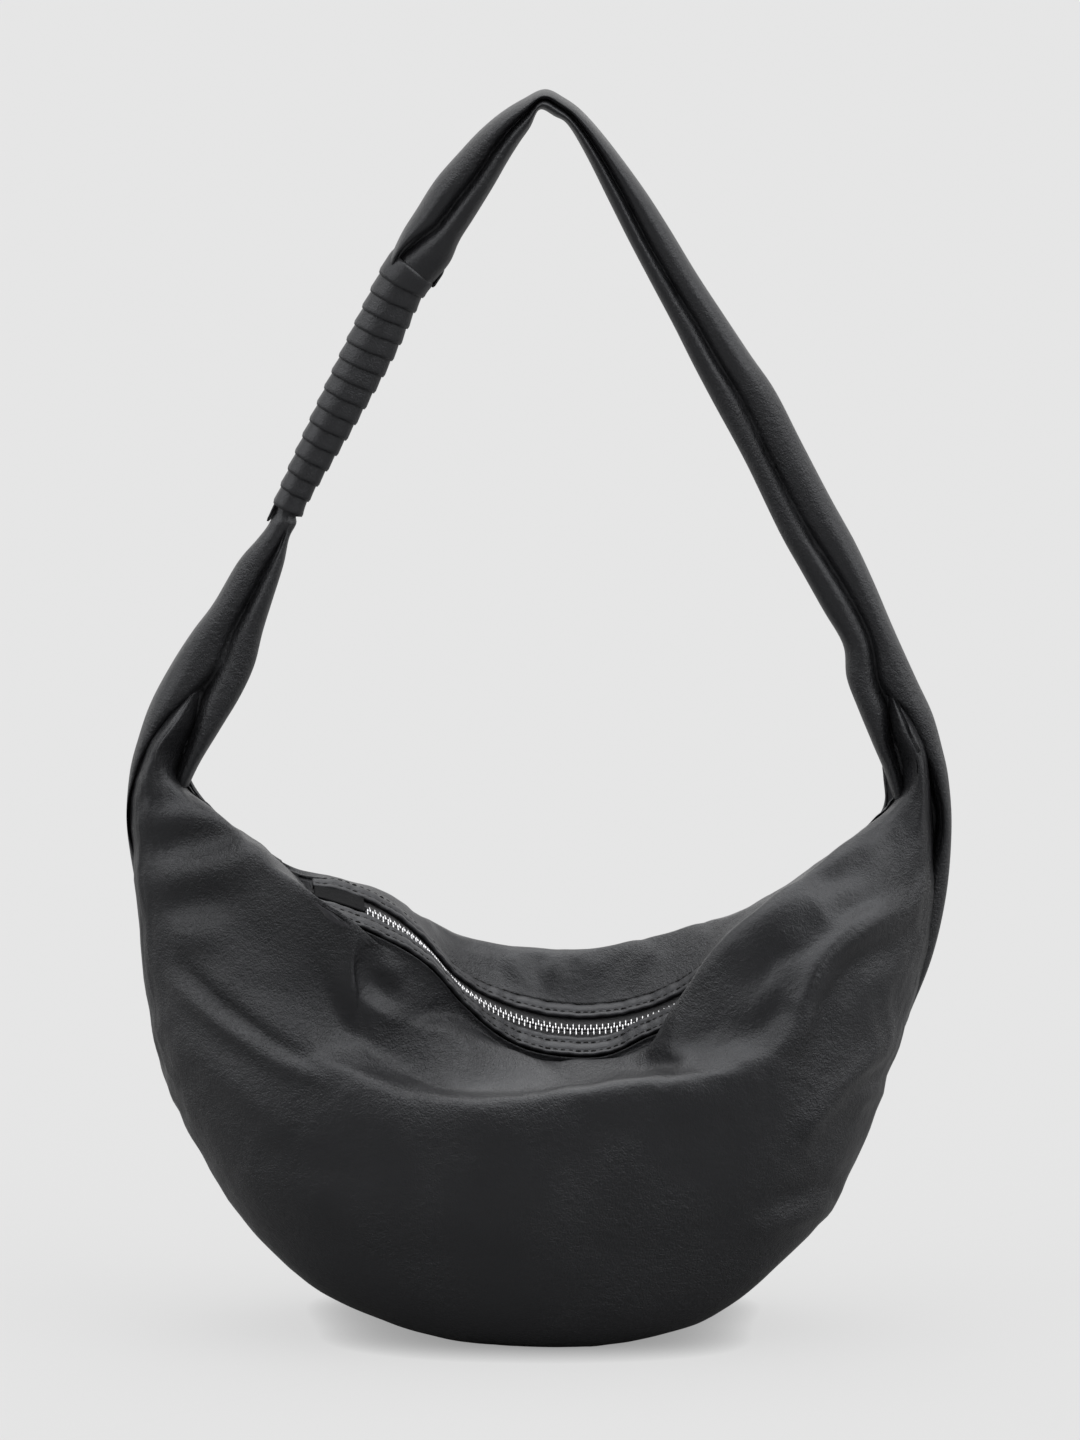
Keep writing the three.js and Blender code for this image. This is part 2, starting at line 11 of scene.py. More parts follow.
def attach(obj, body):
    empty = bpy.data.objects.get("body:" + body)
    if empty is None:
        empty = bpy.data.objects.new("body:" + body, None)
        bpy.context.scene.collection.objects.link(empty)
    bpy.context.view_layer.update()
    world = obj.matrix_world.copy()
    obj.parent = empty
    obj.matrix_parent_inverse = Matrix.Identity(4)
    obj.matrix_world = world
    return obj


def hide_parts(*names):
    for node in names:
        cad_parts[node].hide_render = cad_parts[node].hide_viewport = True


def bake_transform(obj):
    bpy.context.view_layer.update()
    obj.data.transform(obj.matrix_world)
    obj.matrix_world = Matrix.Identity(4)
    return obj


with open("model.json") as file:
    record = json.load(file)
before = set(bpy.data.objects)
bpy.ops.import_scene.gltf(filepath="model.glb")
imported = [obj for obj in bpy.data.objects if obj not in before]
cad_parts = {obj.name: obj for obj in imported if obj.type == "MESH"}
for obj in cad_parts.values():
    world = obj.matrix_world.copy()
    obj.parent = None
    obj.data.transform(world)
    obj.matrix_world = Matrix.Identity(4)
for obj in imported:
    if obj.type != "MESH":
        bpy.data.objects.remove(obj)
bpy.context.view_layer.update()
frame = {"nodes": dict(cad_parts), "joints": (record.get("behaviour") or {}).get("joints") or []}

MM = 0.001
JOINTS = {joint["name"]: joint for joint in frame["joints"]}
ZIP_CENTRE = np.array(JOINTS["zip_travel"]["pos_m"])
ACROSS = np.array(JOINTS["zip_travel"]["axis"])
ACROSS = ACROSS / np.linalg.norm(ACROSS)
RISE = np.array([0.0, -ACROSS[2], ACROSS[1]])

# ---- the view the shapes are set out in ----

EYE_TILT = math.radians(9)
EYE_DISTANCE = 3000.0
EYE_AIM = 259.4
AIM_SEEN = 261.25


def seen(x, v, y):
    """The point, in metres, that is seen at x across and v up on the picture plane, y mm deep."""
    c, s = math.cos(EYE_TILT), math.sin(EYE_TILT)
    w = v - AIM_SEEN
    rise = (w * (EYE_DISTANCE + y * c) - y * s * EYE_DISTANCE) / (c * EYE_DISTANCE + w * s)
    depth = EYE_DISTANCE + y * c - rise * s
    return np.array([x * depth / EYE_DISTANCE, y, EYE_AIM + rise]) * MM


# ---- smooth lines and closed sheets ----

def through(knots, values, places):
    """Values at places, on the smooth line that passes through the values at the knots."""
    knots = np.asarray(knots, float)
    values = np.asarray(values, float)
    places = np.clip(np.asarray(places, float), knots[0], knots[-1])
    slopes = np.gradient(values, knots, axis=0)
    k = np.clip(np.searchsorted(knots, places, side="right") - 1, 0, len(knots) - 2)
    step = (knots[k + 1] - knots[k])[:, None]
    t = ((places - knots[k])[:, None]) / step
    return (values[k] * (2 * t**3 - 3 * t**2 + 1) + values[k + 1] * (3 * t**2 - 2 * t**3)
            + slopes[k] * step * (t**3 - 2 * t**2 + t) + slopes[k + 1] * step * (t**3 - t**2))


def grid_normals(grid, around=False):
    """Unit normals of a grid of points."""
    du = np.gradient(grid, axis=0)
    if around:
        dv = (np.roll(grid, -1, axis=1) - np.roll(grid, 1, axis=1)) / 2
    else:
        dv = np.gradient(grid, axis=1)
    n = np.cross(du, dv)
    return n / np.maximum(np.linalg.norm(n, axis=2, keepdims=True), 1e-12)


def outward_normals(grid, side):
    """Unit normals of a front (-1) or back (1) panel's grid that point out of the bag."""
    normals = grid_normals(grid)
    middle = normals[grid.shape[0] // 2, grid.shape[1] // 2]
    return normals * (side if middle[1] > 0 else -side)


def above_floor(grid, lowest=0.0):
    """The grid with no point lower than this height."""
    raised = grid.copy()
    raised[..., 2] = np.maximum(grid[..., 2], lowest)
    return raised


def relax(grid, rounds, around=False, strength=0.5):
    """A grid with its bumps smoothed, its edges kept."""
    for _ in range(rounds):
        inner = grid.copy()
        inner[1:-1] = (grid[:-2] + grid[2:]) / 2
        if around:
            across = (np.roll(grid, 1, axis=1) + np.roll(grid, -1, axis=1)) / 2
        else:
            across = grid.copy()
            across[:, 1:-1] = (grid[:, :-2] + grid[:, 2:]) / 2
        smooth = (inner + across) / 2
        edge = grid.copy()
        grid = grid + strength * (smooth - grid)
        grid[0], grid[-1] = edge[0], edge[-1]
        if not around:
            grid[:, 0], grid[:, -1] = edge[:, 0], edge[:, -1]
    return grid


def mesh_piece(name, points, faces, material, smooth=True):
    """A new object from points in metres and faces."""
    mesh = bpy.data.meshes.new(name)
    mesh.from_pydata([tuple(p) for p in points], [], [tuple(f) for f in faces])
    mesh.update()
    if smooth:
        mesh.shade_smooth()
    mesh.materials.append(material)
    piece = bpy.data.objects.new(name, mesh)
    bpy.context.scene.collection.objects.link(piece)
    return piece


def sheet_faces(rows, columns, around=False):
    """Faces of the closed solid between two grids of the same size."""
    size = rows * columns
    wrap = columns if around else columns - 1
    faces = []
    for i in range(rows - 1):
        for j in range(wrap):
            k = (j + 1) % columns
            a, b = i * columns + j, i * columns + k
            c, d = b + columns, a + columns
            faces.append((a, b, c, d))
            faces.append((a + size, d + size, c + size, b + size))
    for i, turned in ((0, True), (rows - 1, False)):
        for j in range(wrap):
            k = (j + 1) % columns
            a, b = i * columns + j, i * columns + k
            faces.append((b, a, a + size, b + size) if turned else (a, b, b + size, a + size))
    if not around:
        for j, turned in ((0, False), (columns - 1, True)):
            for i in range(rows - 1):
                a, b = i * columns + j, (i + 1) * columns + j
                faces.append((b, a, a + size, b + size) if turned else (a, b, b + size, a + size))
    return faces


def sheet(name, outer, inner, material, around=False):
    """A closed sheet between an outer and an inner grid of points."""
    rows, columns = outer.shape[:2]
    points = np.concatenate([outer.reshape(-1, 3), inner.reshape(-1, 3)])
    piece = mesh_piece(name, points, sheet_faces(rows, columns, around), material)
    volume = 0.0
    for face in piece.data.polygons:
        a, b, c, d = (piece.data.vertices[index].co for index in face.vertices)
        volume += a.dot(b.cross(c)) + a.dot(c.cross(d))
    if volume < 0:
        piece.data.flip_normals()
    return piece


def fixed(piece, *nodes):
    """The piece belongs to the bag's body and stands for these parts."""
    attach(piece, "bag")
    if nodes:
        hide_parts(*nodes)


# ---- materials ----

GRAIN_WARP = 0.0016


def with_inputs(node, **inputs):
    """The node with these inputs set; an underscore stands for the space in an input's name."""
    for key, value in inputs.items():
        node.inputs[key.replace("_", " ")].default_value = value
    return node


def nodes_of(name, **inputs):
    """A new material, its node tree and its shader with these inputs."""
    material = bpy.data.materials.new(name)
    material.use_nodes = True
    tree = material.node_tree
    return material, tree, with_inputs(tree.nodes["Principled BSDF"], **inputs)


def add_node(tree, kind, **inputs):
    """A new node with these inputs."""
    return with_inputs(tree.nodes.new(kind), **inputs)


def texture(tree, kind, place, **inputs):
    """A texture node laid out by a place."""
    node = add_node(tree, kind, **inputs)
    tree.links.new(place, node.inputs["Vector"])
    return node


def remap(tree, value, start, end, low, high, curve="LINEAR"):
    """A value's range from start to end turned into low to high."""
    node = add_node(tree, "ShaderNodeMapRange", From_Min=start, From_Max=end, To_Min=low, To_Max=high)
    node.interpolation_type = curve
    tree.links.new(value, node.inputs["Value"])
    return node.outputs["Result"]


def tinted(tree, share, first, second):
    """A colour between two, by a share."""
    node = tree.nodes.new("ShaderNodeMix")
    node.data_type = "RGBA"
    node.inputs["A"].default_value = (*first, 1)
    node.inputs["B"].default_value = (*second, 1)
    tree.links.new(share, node.inputs["Factor"])
    return node.outputs["Result"]


def uneven(tree, place):
    """A place shifted a little by noise."""
    bend = texture(tree, "ShaderNodeTexNoise", place, Scale=330.0, Detail=3.0)
    warp = tree.nodes.new("ShaderNodeVectorMath")
    warp.operation = "SCALE"
    warp.inputs["Scale"].default_value = GRAIN_WARP
    tree.links.new(bend.outputs["Color"], warp.inputs[0])
    added = tree.nodes.new("ShaderNodeVectorMath")
    tree.links.new(place, added.inputs[0])
    tree.links.new(warp.outputs["Vector"], added.inputs[1])
    return added.outputs["Vector"]


def leather(name, base, light, roughness, grain=1.0, shine=1.0):
    """Soft drummed leather: pebble grain with fine creases, stronger in patches, and a low sheen."""
    material, tree, shader = nodes_of(
        name, Specular_IOR_Level=0.44 * shine, Specular_Tint=(0.94, 0.96, 1.0, 1),
        Coat_Weight=0.10 * shine, Coat_Roughness=0.3)
    link = tree.links.new
    place = tree.nodes.new("ShaderNodeTexCoord").outputs["Object"]
    cloud = texture(tree, "ShaderNodeTexNoise", place, Scale=26.0, Detail=4.0, Roughness=0.6).outputs["Fac"]
    patches = texture(tree, "ShaderNodeTexNoise", place, Scale=15.0, Detail=2.0).outputs["Fac"]
    warped = uneven(tree, place)
    pebble = texture(tree, "ShaderNodeTexVoronoi", warped, Scale=760.0)
    pebble.feature = "DISTANCE_TO_EDGE"
    dome = remap(tree, pebble.outputs["Distance"], 0.0, 0.32, 0.0, 1.0, "SMOOTHERSTEP")
    crease = texture(tree, "ShaderNodeTexNoise", warped, Scale=360.0, Detail=5.0, Roughness=0.7)
    pores = texture(tree, "ShaderNodeTexNoise", warped, Scale=2600.0, Detail=2.0)
    link(tinted(tree, cloud, base, light), shader.inputs["Base Color"])
    link(remap(tree, cloud, 0.3, 0.7, roughness - 0.05, roughness + 0.06), shader.inputs["Roughness"])
    bump = None
    # each height's strength between the patches and in them, and its depth in metres
    for height, weak, strong, depth in (
            (dome, 0.18, 0.75, 0.00022), (crease.outputs["Fac"], 0.45, 1.0, 0.00100),
            (pores.outputs["Fac"], 0.15, 0.25, 0.00012)):
        level = add_node(tree, "ShaderNodeBump", Distance=depth)
        link(remap(tree, patches, 0.42, 0.62, weak * grain, strong * grain), level.inputs["Strength"])
        link(height, level.inputs["Height"])
        if bump:
            link(bump.outputs["Normal"], level.inputs["Normal"])
        bump = level
    link(bump.outputs["Normal"], shader.inputs["Normal"])
    return material


WAVE_TURN = 6.28


def cloth(name, colour, pitch, sheen):
    """A plain woven cloth, its threads pitch metres apart."""
    material, tree, shader = nodes_of(name, Roughness=0.85, Sheen_Weight=sheen)
    link = tree.links.new
    place = tree.nodes.new("ShaderNodeTexCoord").outputs["Object"]
    weave = texture(tree, "ShaderNodeTexWave", place, Scale=1 / pitch / WAVE_TURN, Distortion=0.3)
    weave.bands_direction = "DIAGONAL"
    fuzz = texture(tree, "ShaderNodeTexNoise", place, Scale=900.0, Detail=3.0)
    light = [c * 1.8 for c in colour]
    link(tinted(tree, fuzz.outputs["Fac"], colour, light), shader.inputs["Base Color"])
    bump = add_node(tree, "ShaderNodeBump", Strength=0.5, Distance=0.0002)
    link(weave.outputs["Fac"], bump.inputs["Height"])
    link(bump.outputs["Normal"], shader.inputs["Normal"])
    return material


def metal(name):
    """Bright nickel plating with faint scuffs."""
    material, tree, shader = nodes_of(name, Base_Color=(0.62, 0.62, 0.63, 1), Metallic=1.0)
    place = tree.nodes.new("ShaderNodeTexCoord").outputs["Object"]
    scuff = texture(tree, "ShaderNodeTexNoise", place, Scale=700.0, Detail=4.0)
    tree.links.new(remap(tree, scuff.outputs["Fac"], 0.3, 0.7, 0.18, 0.34), shader.inputs["Roughness"])
    return material


LEATHER = leather("black_leather", (0.0080, 0.0080, 0.0089), (0.0130, 0.0130, 0.0143), 0.345)
FACING = leather("facing_leather", (0.0150, 0.0150, 0.0166), (0.0200, 0.0200, 0.0222), 0.44, 0.4)
LACE = leather("lace_leather", (0.0120, 0.0120, 0.0130), (0.0170, 0.0170, 0.0185), 0.38, 0.6)
# painted shade: the tabs' leather has a darker base and a weaker sheen than the panels' leather, because the
# tabs lie in shade
PAINTED_SHADE_TAB = leather("tab_leather_painted_shade", (0.0030, 0.0030, 0.0033), (0.0050, 0.0050, 0.0055), 0.62, 0.4, 0.15)
LINING = cloth("lining_cloth", (0.020, 0.020, 0.023), 0.0006, 0.3)
TAPE = cloth("tape_cloth", (0.006, 0.006, 0.007), 0.0008, 0.1)
THREAD = cloth("thread", (0.0012, 0.0012, 0.0012), 0.0003, 0.0)
METAL = metal("nickel")

# ---- the zip's curved band ----

ZIP_RADIUS = 0.0693
HALF_ARC = math.radians(60)
TAIL_RADIUS = 0.080
TAIL_END = math.radians(27)
TAIL_LENGTH = TAIL_RADIUS * (HALF_ARC - TAIL_END)
ZIP_LENGTH = TAIL_LENGTH + 2 * HALF_ARC * ZIP_RADIUS

# the band leans towards the viewer by TWIST, less at the chain's left end, and not at all on the right
TWIST = math.radians(14)
TWIST_LEFT = 0.7
TWIST_STARTS = (0.006, 0.034)
TWIST_ENDS = (0.055, 0.100)
# where the front facing closes over the chain, and how far it rises and moves in
CLOSING = (0.124, 0.150)
CLOSING_LIFT, CLOSING_SHIFT = 0.0042, 0.0016


def ease(value, start, end):
    """0 before start and 1 after end, with a smooth change between."""
    t = np.clip((np.asarray(value, float) - start) / (end - start), 0, 1)
    return t * t * (3 - 2 * t)


def zip_point(along, across, above):
    """A point by its length along the chain from the left end, distance across it and above it."""
    along, across, above = np.broadcast_arrays(*[np.asarray(a, float) for a in (along, across, above)])
    # past the chain's left end the band draws together under the panels
    across = across * (1 - 0.3 * ease(-along, 0.008, 0.026))
    # towards the right end the front facing stands up and closes over the chain
    closing = ease(along, *CLOSING) * ease(-across, 0.0045, 0.0068)
    above = above + CLOSING_LIFT * closing
    across = across + CLOSING_SHIFT * closing
    slope = np.where(along < TAIL_LENGTH, -TAIL_END - along / TAIL_RADIUS,
                     (along - TAIL_LENGTH) / ZIP_RADIUS - HALF_ARC)
    tail_x = -ZIP_RADIUS * math.sin(HALF_ARC) - TAIL_RADIUS * (math.sin(HALF_ARC) + np.sin(slope))
    tail_rise = -ZIP_RADIUS * math.cos(HALF_ARC) + TAIL_RADIUS * (np.cos(slope) - math.cos(HALF_ARC))
    x = np.where(along < TAIL_LENGTH, tail_x, ZIP_RADIUS * np.sin(slope))
    rise = np.where(along < TAIL_LENGTH, tail_rise, -ZIP_RADIUS * np.cos(slope))
    share = TWIST_LEFT + (1 - TWIST_LEFT) * ease(along, *TWIST_STARTS)
    twist = -TWIST * share * (1 - ease(along, *TWIST_ENDS))
    flat = across * np.cos(twist) - above * np.sin(twist)
    lift = across * np.sin(twist) + above * np.cos(twist)
    return (ZIP_CENTRE + (x - lift * np.sin(slope))[..., None] * np.array([1.0, 0, 0])
            + (rise + lift * np.cos(slope))[..., None] * RISE + flat[..., None] * ACROSS)


# ---- front and back panels ----

# Stations run from the tip of the left horn (0) to the tip of the right horn (20); the zip's ends are
# at stations 6 and 14. Each line holds (station, x, height seen, depth), in mm.
ZIP_FIRST, ZIP_LAST, TIP = 6, 14, 20

FRONT_RIDGE = [
    (0, -141.3, 277, -1.5), (1, -150.5, 260, -14.5), (2, -158.3, 247, -16), (3, -152.5, 235.8, -12),
    (4, -132, 220, -22), (5, -110, 201.5, -36), (6, -92, 187, -47), (7, -76, 171, -47),
    (7.45, -75, 156, -43), (8, -63, 138.5, -38.5), (9, -40, 133, -31.5), (10, -12, 123.5, -23),
    (11, 14, 118.5, -17), (12, 41, 122, -26), (13, 56.3, 143.4, -36), (14, 71.8, 166, -40),
    (15, 93, 185.8, -38), (16, 121, 205.5, -26), (17, 149.5, 227, -12), (18, 157.3, 241, -16),
    (19, 151, 257.5, -15), (20, 144.6, 276.5, -1.5)]
FRONT_HOLLOW = [
    (0, -141.8, 277, -2), (1, -152.5, 260, -15.3), (2, -160.4, 246.5, -16.3), (3, -158, 231, -16),
    (4, -142, 199, -24), (5, -118, 168, -38), (6, -98, 149, -45), (7, -80, 131, -46), (8, -60, 116.5, -45),
    (9, -38, 110.5, -45), (10, -12, 108, -43), (11, 15, 110.5, -41), (12, 43, 115, -44), (13, 62, 124, -48),
    (14, 84, 141, -50), (15, 106, 165, -48), (16, 130, 186, -37), (17, 152.5, 217, -17),
    (18, 158.6, 240.3, -16.3), (19, 152.6, 257.5, -15.5), (20, 144.9, 276.5, -2)]
FRONT_LIP = [
    (0, -142.2, 277, -2), (1, -154, 260, -14.6), (2, -162, 246, -15.4), (3, -163.2, 225, -17),
    (4, -154, 178, -23), (5, -133, 150, -39), (6, -109, 130, -51), (7, -88, 116, -58), (8, -62, 106, -63),
    (9, -38, 102.5, -65), (10, -12, 103, -66), (11, 15, 107, -65), (12, 42, 110, -65), (13, 70, 111.3, -64),
    (14, 96, 121, -60), (15, 113, 144, -54), (16, 135, 172, -41), (17, 156, 205, -20),
    (18, 159.6, 239.6, -15.4), (19, 154, 257.5, -14.8), (20, 145.2, 276.5, -2)]
FRONT_BELLY_TOP = [
    (0, -142.6, 277, -1.5), (1, -155.2, 260, -12), (2, -163.3, 245.7, -12.8), (3, -166.8, 220, -15),
    (4, -159.5, 158, -20), (5, -143, 126, -37), (6, -120, 103, -51), (7, -95, 88, -60), (8, -65, 80, -66),
    (9, -38, 78, -67), (10, -12, 78, -68), (11, 15, 80, -67), (12, 43, 84, -67), (13, 73, 88, -64),
    (14, 100, 97, -58), (15, 121, 118, -49), (16, 143, 150, -34), (17, 159.5, 195, -17),
    (18, 160.3, 239, -12.6), (19, 155.1, 257.5, -12), (20, 145.5, 276.5, -1.5)]
FRONT_BELLY = [
    (0, -143, 277, -1), (1, -156.2, 260, -10), (2, -164.4, 245.5, -10.6), (3, -169, 217, -11),
    (4, -161.5, 142, -14), (5, -148, 105, -28), (6, -124, 75, -43), (7, -97, 56, -54), (8, -66, 46, -60),
    (9, -38, 42, -62), (10, -12, 41, -63), (11, 15, 42, -63), (12, 43, 46, -62), (13, 73, 53, -58),
    (14, 101, 66, -51), (15, 124, 89, -41), (16, 146, 130, -24), (17, 161.5, 185, -12),
    (18, 161, 238.6, -10.6), (19, 156, 257.5, -10), (20, 145.8, 276.5, -1)]
FRONT_LOW = [
    (0, -143.4, 277, -0.5), (1, -157, 260, -7), (2, -165.2, 245.5, -7), (3, -170.3, 216, -6),
    (4, -161.5, 132, -6), (5, -148.5, 93, -14), (6, -122, 52, -25), (7, -96, 27, -33), (8, -66, 13, -38),
    (9, -38, 5, -42), (10, -12, 2, -43), (11, 15, 2, -43), (12, 43, 5.5, -42), (13, 73, 15, -38),
    (14, 101, 36, -31), (15, 126, 66, -22), (16, 146, 114, -10), (17, 162.5, 178, -7),
    (18, 161.6, 238.3, -7), (19, 156.8, 257.5, -7), (20, 146.1, 276.5, -0.5)]
SEAM = [
    (0, -143.8, 277, 0), (1, -157.6, 260, -3), (2, -165.8, 245.5, -3), (3, -170.8, 217, -1.5),
    (4, -160, 127, -0.6), (5, -146, 91, -0.6), (6, -118, 50, -0.6), (7, -93, 28, -0.6), (8, -65, 14, -0.6),
    (9, -38, 6, -0.6), (10, -12, 4, -0.6), (11, 15, 4, -0.6), (12, 43, 7, -0.6), (13, 72, 18, -0.6),
    (14, 99, 40, -0.6), (15, 123, 67, -0.6), (16, 144, 112, -0.6), (17, 162.6, 172, -0.6),
    (18, 162.2, 238, -3), (19, 157.4, 257.5, -3), (20, 146.4, 276.5, 0)]

BACK_TOP = [
    (0, -138, 270, 2), (1, -146, 258, 3), (2, -150, 247, 4), (3, -146, 233, 5), (4, -130, 217.5, 5),
    (5, -108, 201, 3), (6, -87, 193.5, 5), (7, -67, 188.6, 12), (8, -49, 179.6, 21), (9, -30, 170.8, 29),
    (10, -8, 167.2, 33), (11, 18, 166, 34), (12, 42, 170, 34), (13, 62, 175, 33), (14, 80, 181, 32),
    (15, 98, 190, 27), (16, 122, 206, 17), (17, 144, 222, 8), (18, 146, 240, 4), (19, 142, 256, 3),
    (20, 138, 268, 2)]
BACK_SHOULDER = [
    (0, -140, 270, 5), (1, -150, 258, 7), (2, -155, 247, 8), (3, -154, 232, 13), (4, -143, 205, 24),
    (5, -124, 180, 38), (6, -100, 163, 47), (7, -74, 154, 52), (8, -50, 147, 55), (9, -28, 141, 57),
    (10, -6, 139, 58), (11, 18, 139, 58), (12, 42, 142, 57), (13, 64, 147, 55), (14, 86, 156, 51),
    (15, 108, 172, 43), (16, 134, 193, 30), (17, 151, 214, 15), (18, 151, 238, 7), (19, 146, 256, 6),
    (20, 140, 268, 5)]
BACK_BELLY = [
    (0, -143, 270, 6), (1, -156, 257, 7), (2, -163, 246, 9), (3, -164, 226, 12), (4, -157, 165, 24),
    (5, -140, 128, 42), (6, -112, 102, 54), (7, -82, 88, 61), (8, -54, 80, 64), (9, -30, 77, 65),
    (10, -6, 76, 65), (11, 18, 76, 65), (12, 42, 79, 64), (13, 68, 86, 61), (14, 94, 100, 55),
    (15, 120, 126, 44), (16, 146, 162, 27), (17, 160, 204, 13), (18, 160, 234, 8), (19, 152, 256, 6),
    (20, 142, 268, 5)]
BACK_LOW = [
    (0, -146, 270, 4), (1, -160, 257, 5), (2, -168, 245, 6), (3, -170.5, 220, 7), (4, -162, 142, 12),
    (5, -148, 99, 24), (6, -120, 62, 38), (7, -92, 38, 46), (8, -62, 24, 50), (9, -36, 17, 52),
    (10, -10, 15, 52), (11, 18, 15, 52), (12, 44, 19, 51), (13, 72, 29, 47), (14, 100, 50, 39),
    (15, 126, 82, 27), (16, 150, 134, 14), (17, 167, 190, 8), (18, 167.5, 232, 6), (19, 158, 256, 5),
    (20, 144, 268, 4)]

LEATHER_THICKNESS = 0.0016
PANEL_STEPS = 280
PANEL_ROWS = 130
TURNED_ROWS = 22
INNER_FLOOR = 0.0003
MIDDLE_GAP = 0.0005
RIM_REACH = {-1: 0.0180, 1: 0.0150}
RIM_HEIGHT = {-1: 0.0002, 1: 0.0016}
RIM_START = -0.012


def line(keys):
    """Reads a line of places at any stations."""
    stations = [k[0] for k in keys]
    points = [seen(*k[1:]) for k in keys]
    return lambda at: through(stations, points, at)


def rim(side, closure):
    """A panel's upper edge: along the facing, and closing up towards each horn."""
    def edge(along):
        return zip_point(along, side * RIM_REACH[side], RIM_HEIGHT[side])

    ends = [k for k in closure if k[0] < ZIP_FIRST]
    starts = [k for k in closure if k[0] > ZIP_LAST]
    left_points = [seen(*k[1:]) for k in ends] + [edge(RIM_START), edge(RIM_START + 0.02)]
    right_points = [edge(ZIP_LENGTH - 0.02), edge(ZIP_LENGTH)] + [seen(*k[1:]) for k in starts]

    def read(at):
        share = np.clip((at - ZIP_FIRST) / (ZIP_LAST - ZIP_FIRST), 0, 1)
        points = edge(RIM_START + share * (ZIP_LENGTH - RIM_START))
        left = through([k[0] for k in ends] + [ZIP_FIRST, ZIP_FIRST + 0.8], left_points, at)
        right = through([ZIP_LAST - 0.8, ZIP_LAST] + [k[0] for k in starts], right_points, at)
        points = np.where((at < ZIP_FIRST)[:, None], left, points)
        return np.where((at > ZIP_LAST)[:, None], right, points)
    return read


FRONT_CLOSURE = [
    (0, -140.5, 275, -2), (1, -143.8, 259, -3), (2, -149.5, 247, -3), (3, -148.5, 235.5, -2),
    (4, -130, 218, -2), (5, -105, 198, -6), (15, 97, 181, -5), (16, 121, 203, -1), (17, 147, 227.5, -2),
    (18, 150.8, 240.5, -3), (19, 146.5, 257, -3), (20, 144, 274, -2)]
BACK_CLOSURE = [
    (0, -137.5, 272, 0), (1, -144.5, 258, 1), (2, -147.5, 247, 2), (3, -143.5, 233, 3), (4, -128, 216, 2),
    (5, -104, 198.5, -3), (15, 97, 184, -1), (16, 120, 203, 1), (17, 141.5, 222, 4), (18, 143, 240, 3),
    (19, 139.5, 256, 2), (20, 136.5, 267, 1)]


def below_rim(reader, side):
    """The line where a panel turns down from under the facing's edge."""
    drop = -0.0030 * RISE + side * 0.0006 * ACROSS

    def read(at):
        weight = np.clip(np.minimum(at - ZIP_FIRST + 1, ZIP_LAST + 1 - at), 0, 1)[:, None]
        return reader(at) + weight * drop
    return read


def panel_grid(lines, rows_at):
    """A panel's outer surface as a grid of points, stations by rows."""
    stations = np.linspace(0, TIP, PANEL_STEPS + 1)
    nets = np.array([read(stations) for read in lines])
    rows = np.linspace(0, rows_at[-1], PANEL_ROWS + 1)
    grid = np.array([through(rows_at, nets[:, i], rows) for i in range(len(stations))])
    return above_floor(relax(grid, 6))


def seen_place(points):
    """Where points appear on the picture plane, in mm."""
    c, s = math.cos(EYE_TILT), math.sin(EYE_TILT)
    x, y, rise = points[..., 0] / MM, points[..., 1] / MM, points[..., 2] / MM - EYE_AIM
    depth = EYE_DISTANCE + y * c - rise * s
    return np.stack([x, rise * c + y * s], axis=-1) * EYE_DISTANCE / depth[..., None] + [0, AIM_SEEN]


def fade_in(count, first, last):
    """Weights for a row of places that rise from 0 at both ends, the larger the number the sooner."""
    share = np.linspace(0, 1, count)
    return np.clip(np.minimum(share * first, (1 - share) * last), 0, 1)


def distance_along(places, path):
    """Distance of each place from a broken line, and the share of the line's length beside it."""
    path = np.asarray(path, float)
    lengths = np.concatenate([[0], np.cumsum(np.linalg.norm(np.diff(path, axis=0), axis=1))])
    best = np.full(places.shape[:-1], 1e9)
    share = np.zeros(places.shape[:-1])
    for a, b, start in zip(path[:-1], path[1:], lengths):
        ab = b - a
        t = np.clip(((places - a) @ ab) / (ab @ ab), 0, 1)
        gap = np.linalg.norm(places - a - t[..., None] * ab, axis=-1)
        closer = gap < best
        best = np.where(closer, gap, best)
        share = np.where(closer, (start + t * np.linalg.norm(ab)) / lengths[-1], share)
    return best, share


def smooth_path(path, count=24):
    """A curve through a few points."""
    knots = np.arange(len(path), dtype=float)
    return through(knots, path, np.linspace(0, len(path) - 1, count))


def add_folds(grid, side, folds):
    """The grid raised or sunk along folds: each a path as seen, a height and a half width in mm."""
    places = seen_place(grid)
    total = np.zeros(grid.shape[:2])
    for height, width, path in folds:
        gap, share = distance_along(places, smooth_path(path))
        total += height * np.exp(-(gap / width) ** 2) * np.sin(np.pi * np.clip(share, 0.02, 0.98)) ** 0.6
    total *= ease(fade_in(grid.shape[1], 9, 9), 0, 1)[None, :] * fade_in(grid.shape[0], 14, 14)[:, None]
    return above_floor(grid + outward_normals(grid, side) * total[..., None] * MM)


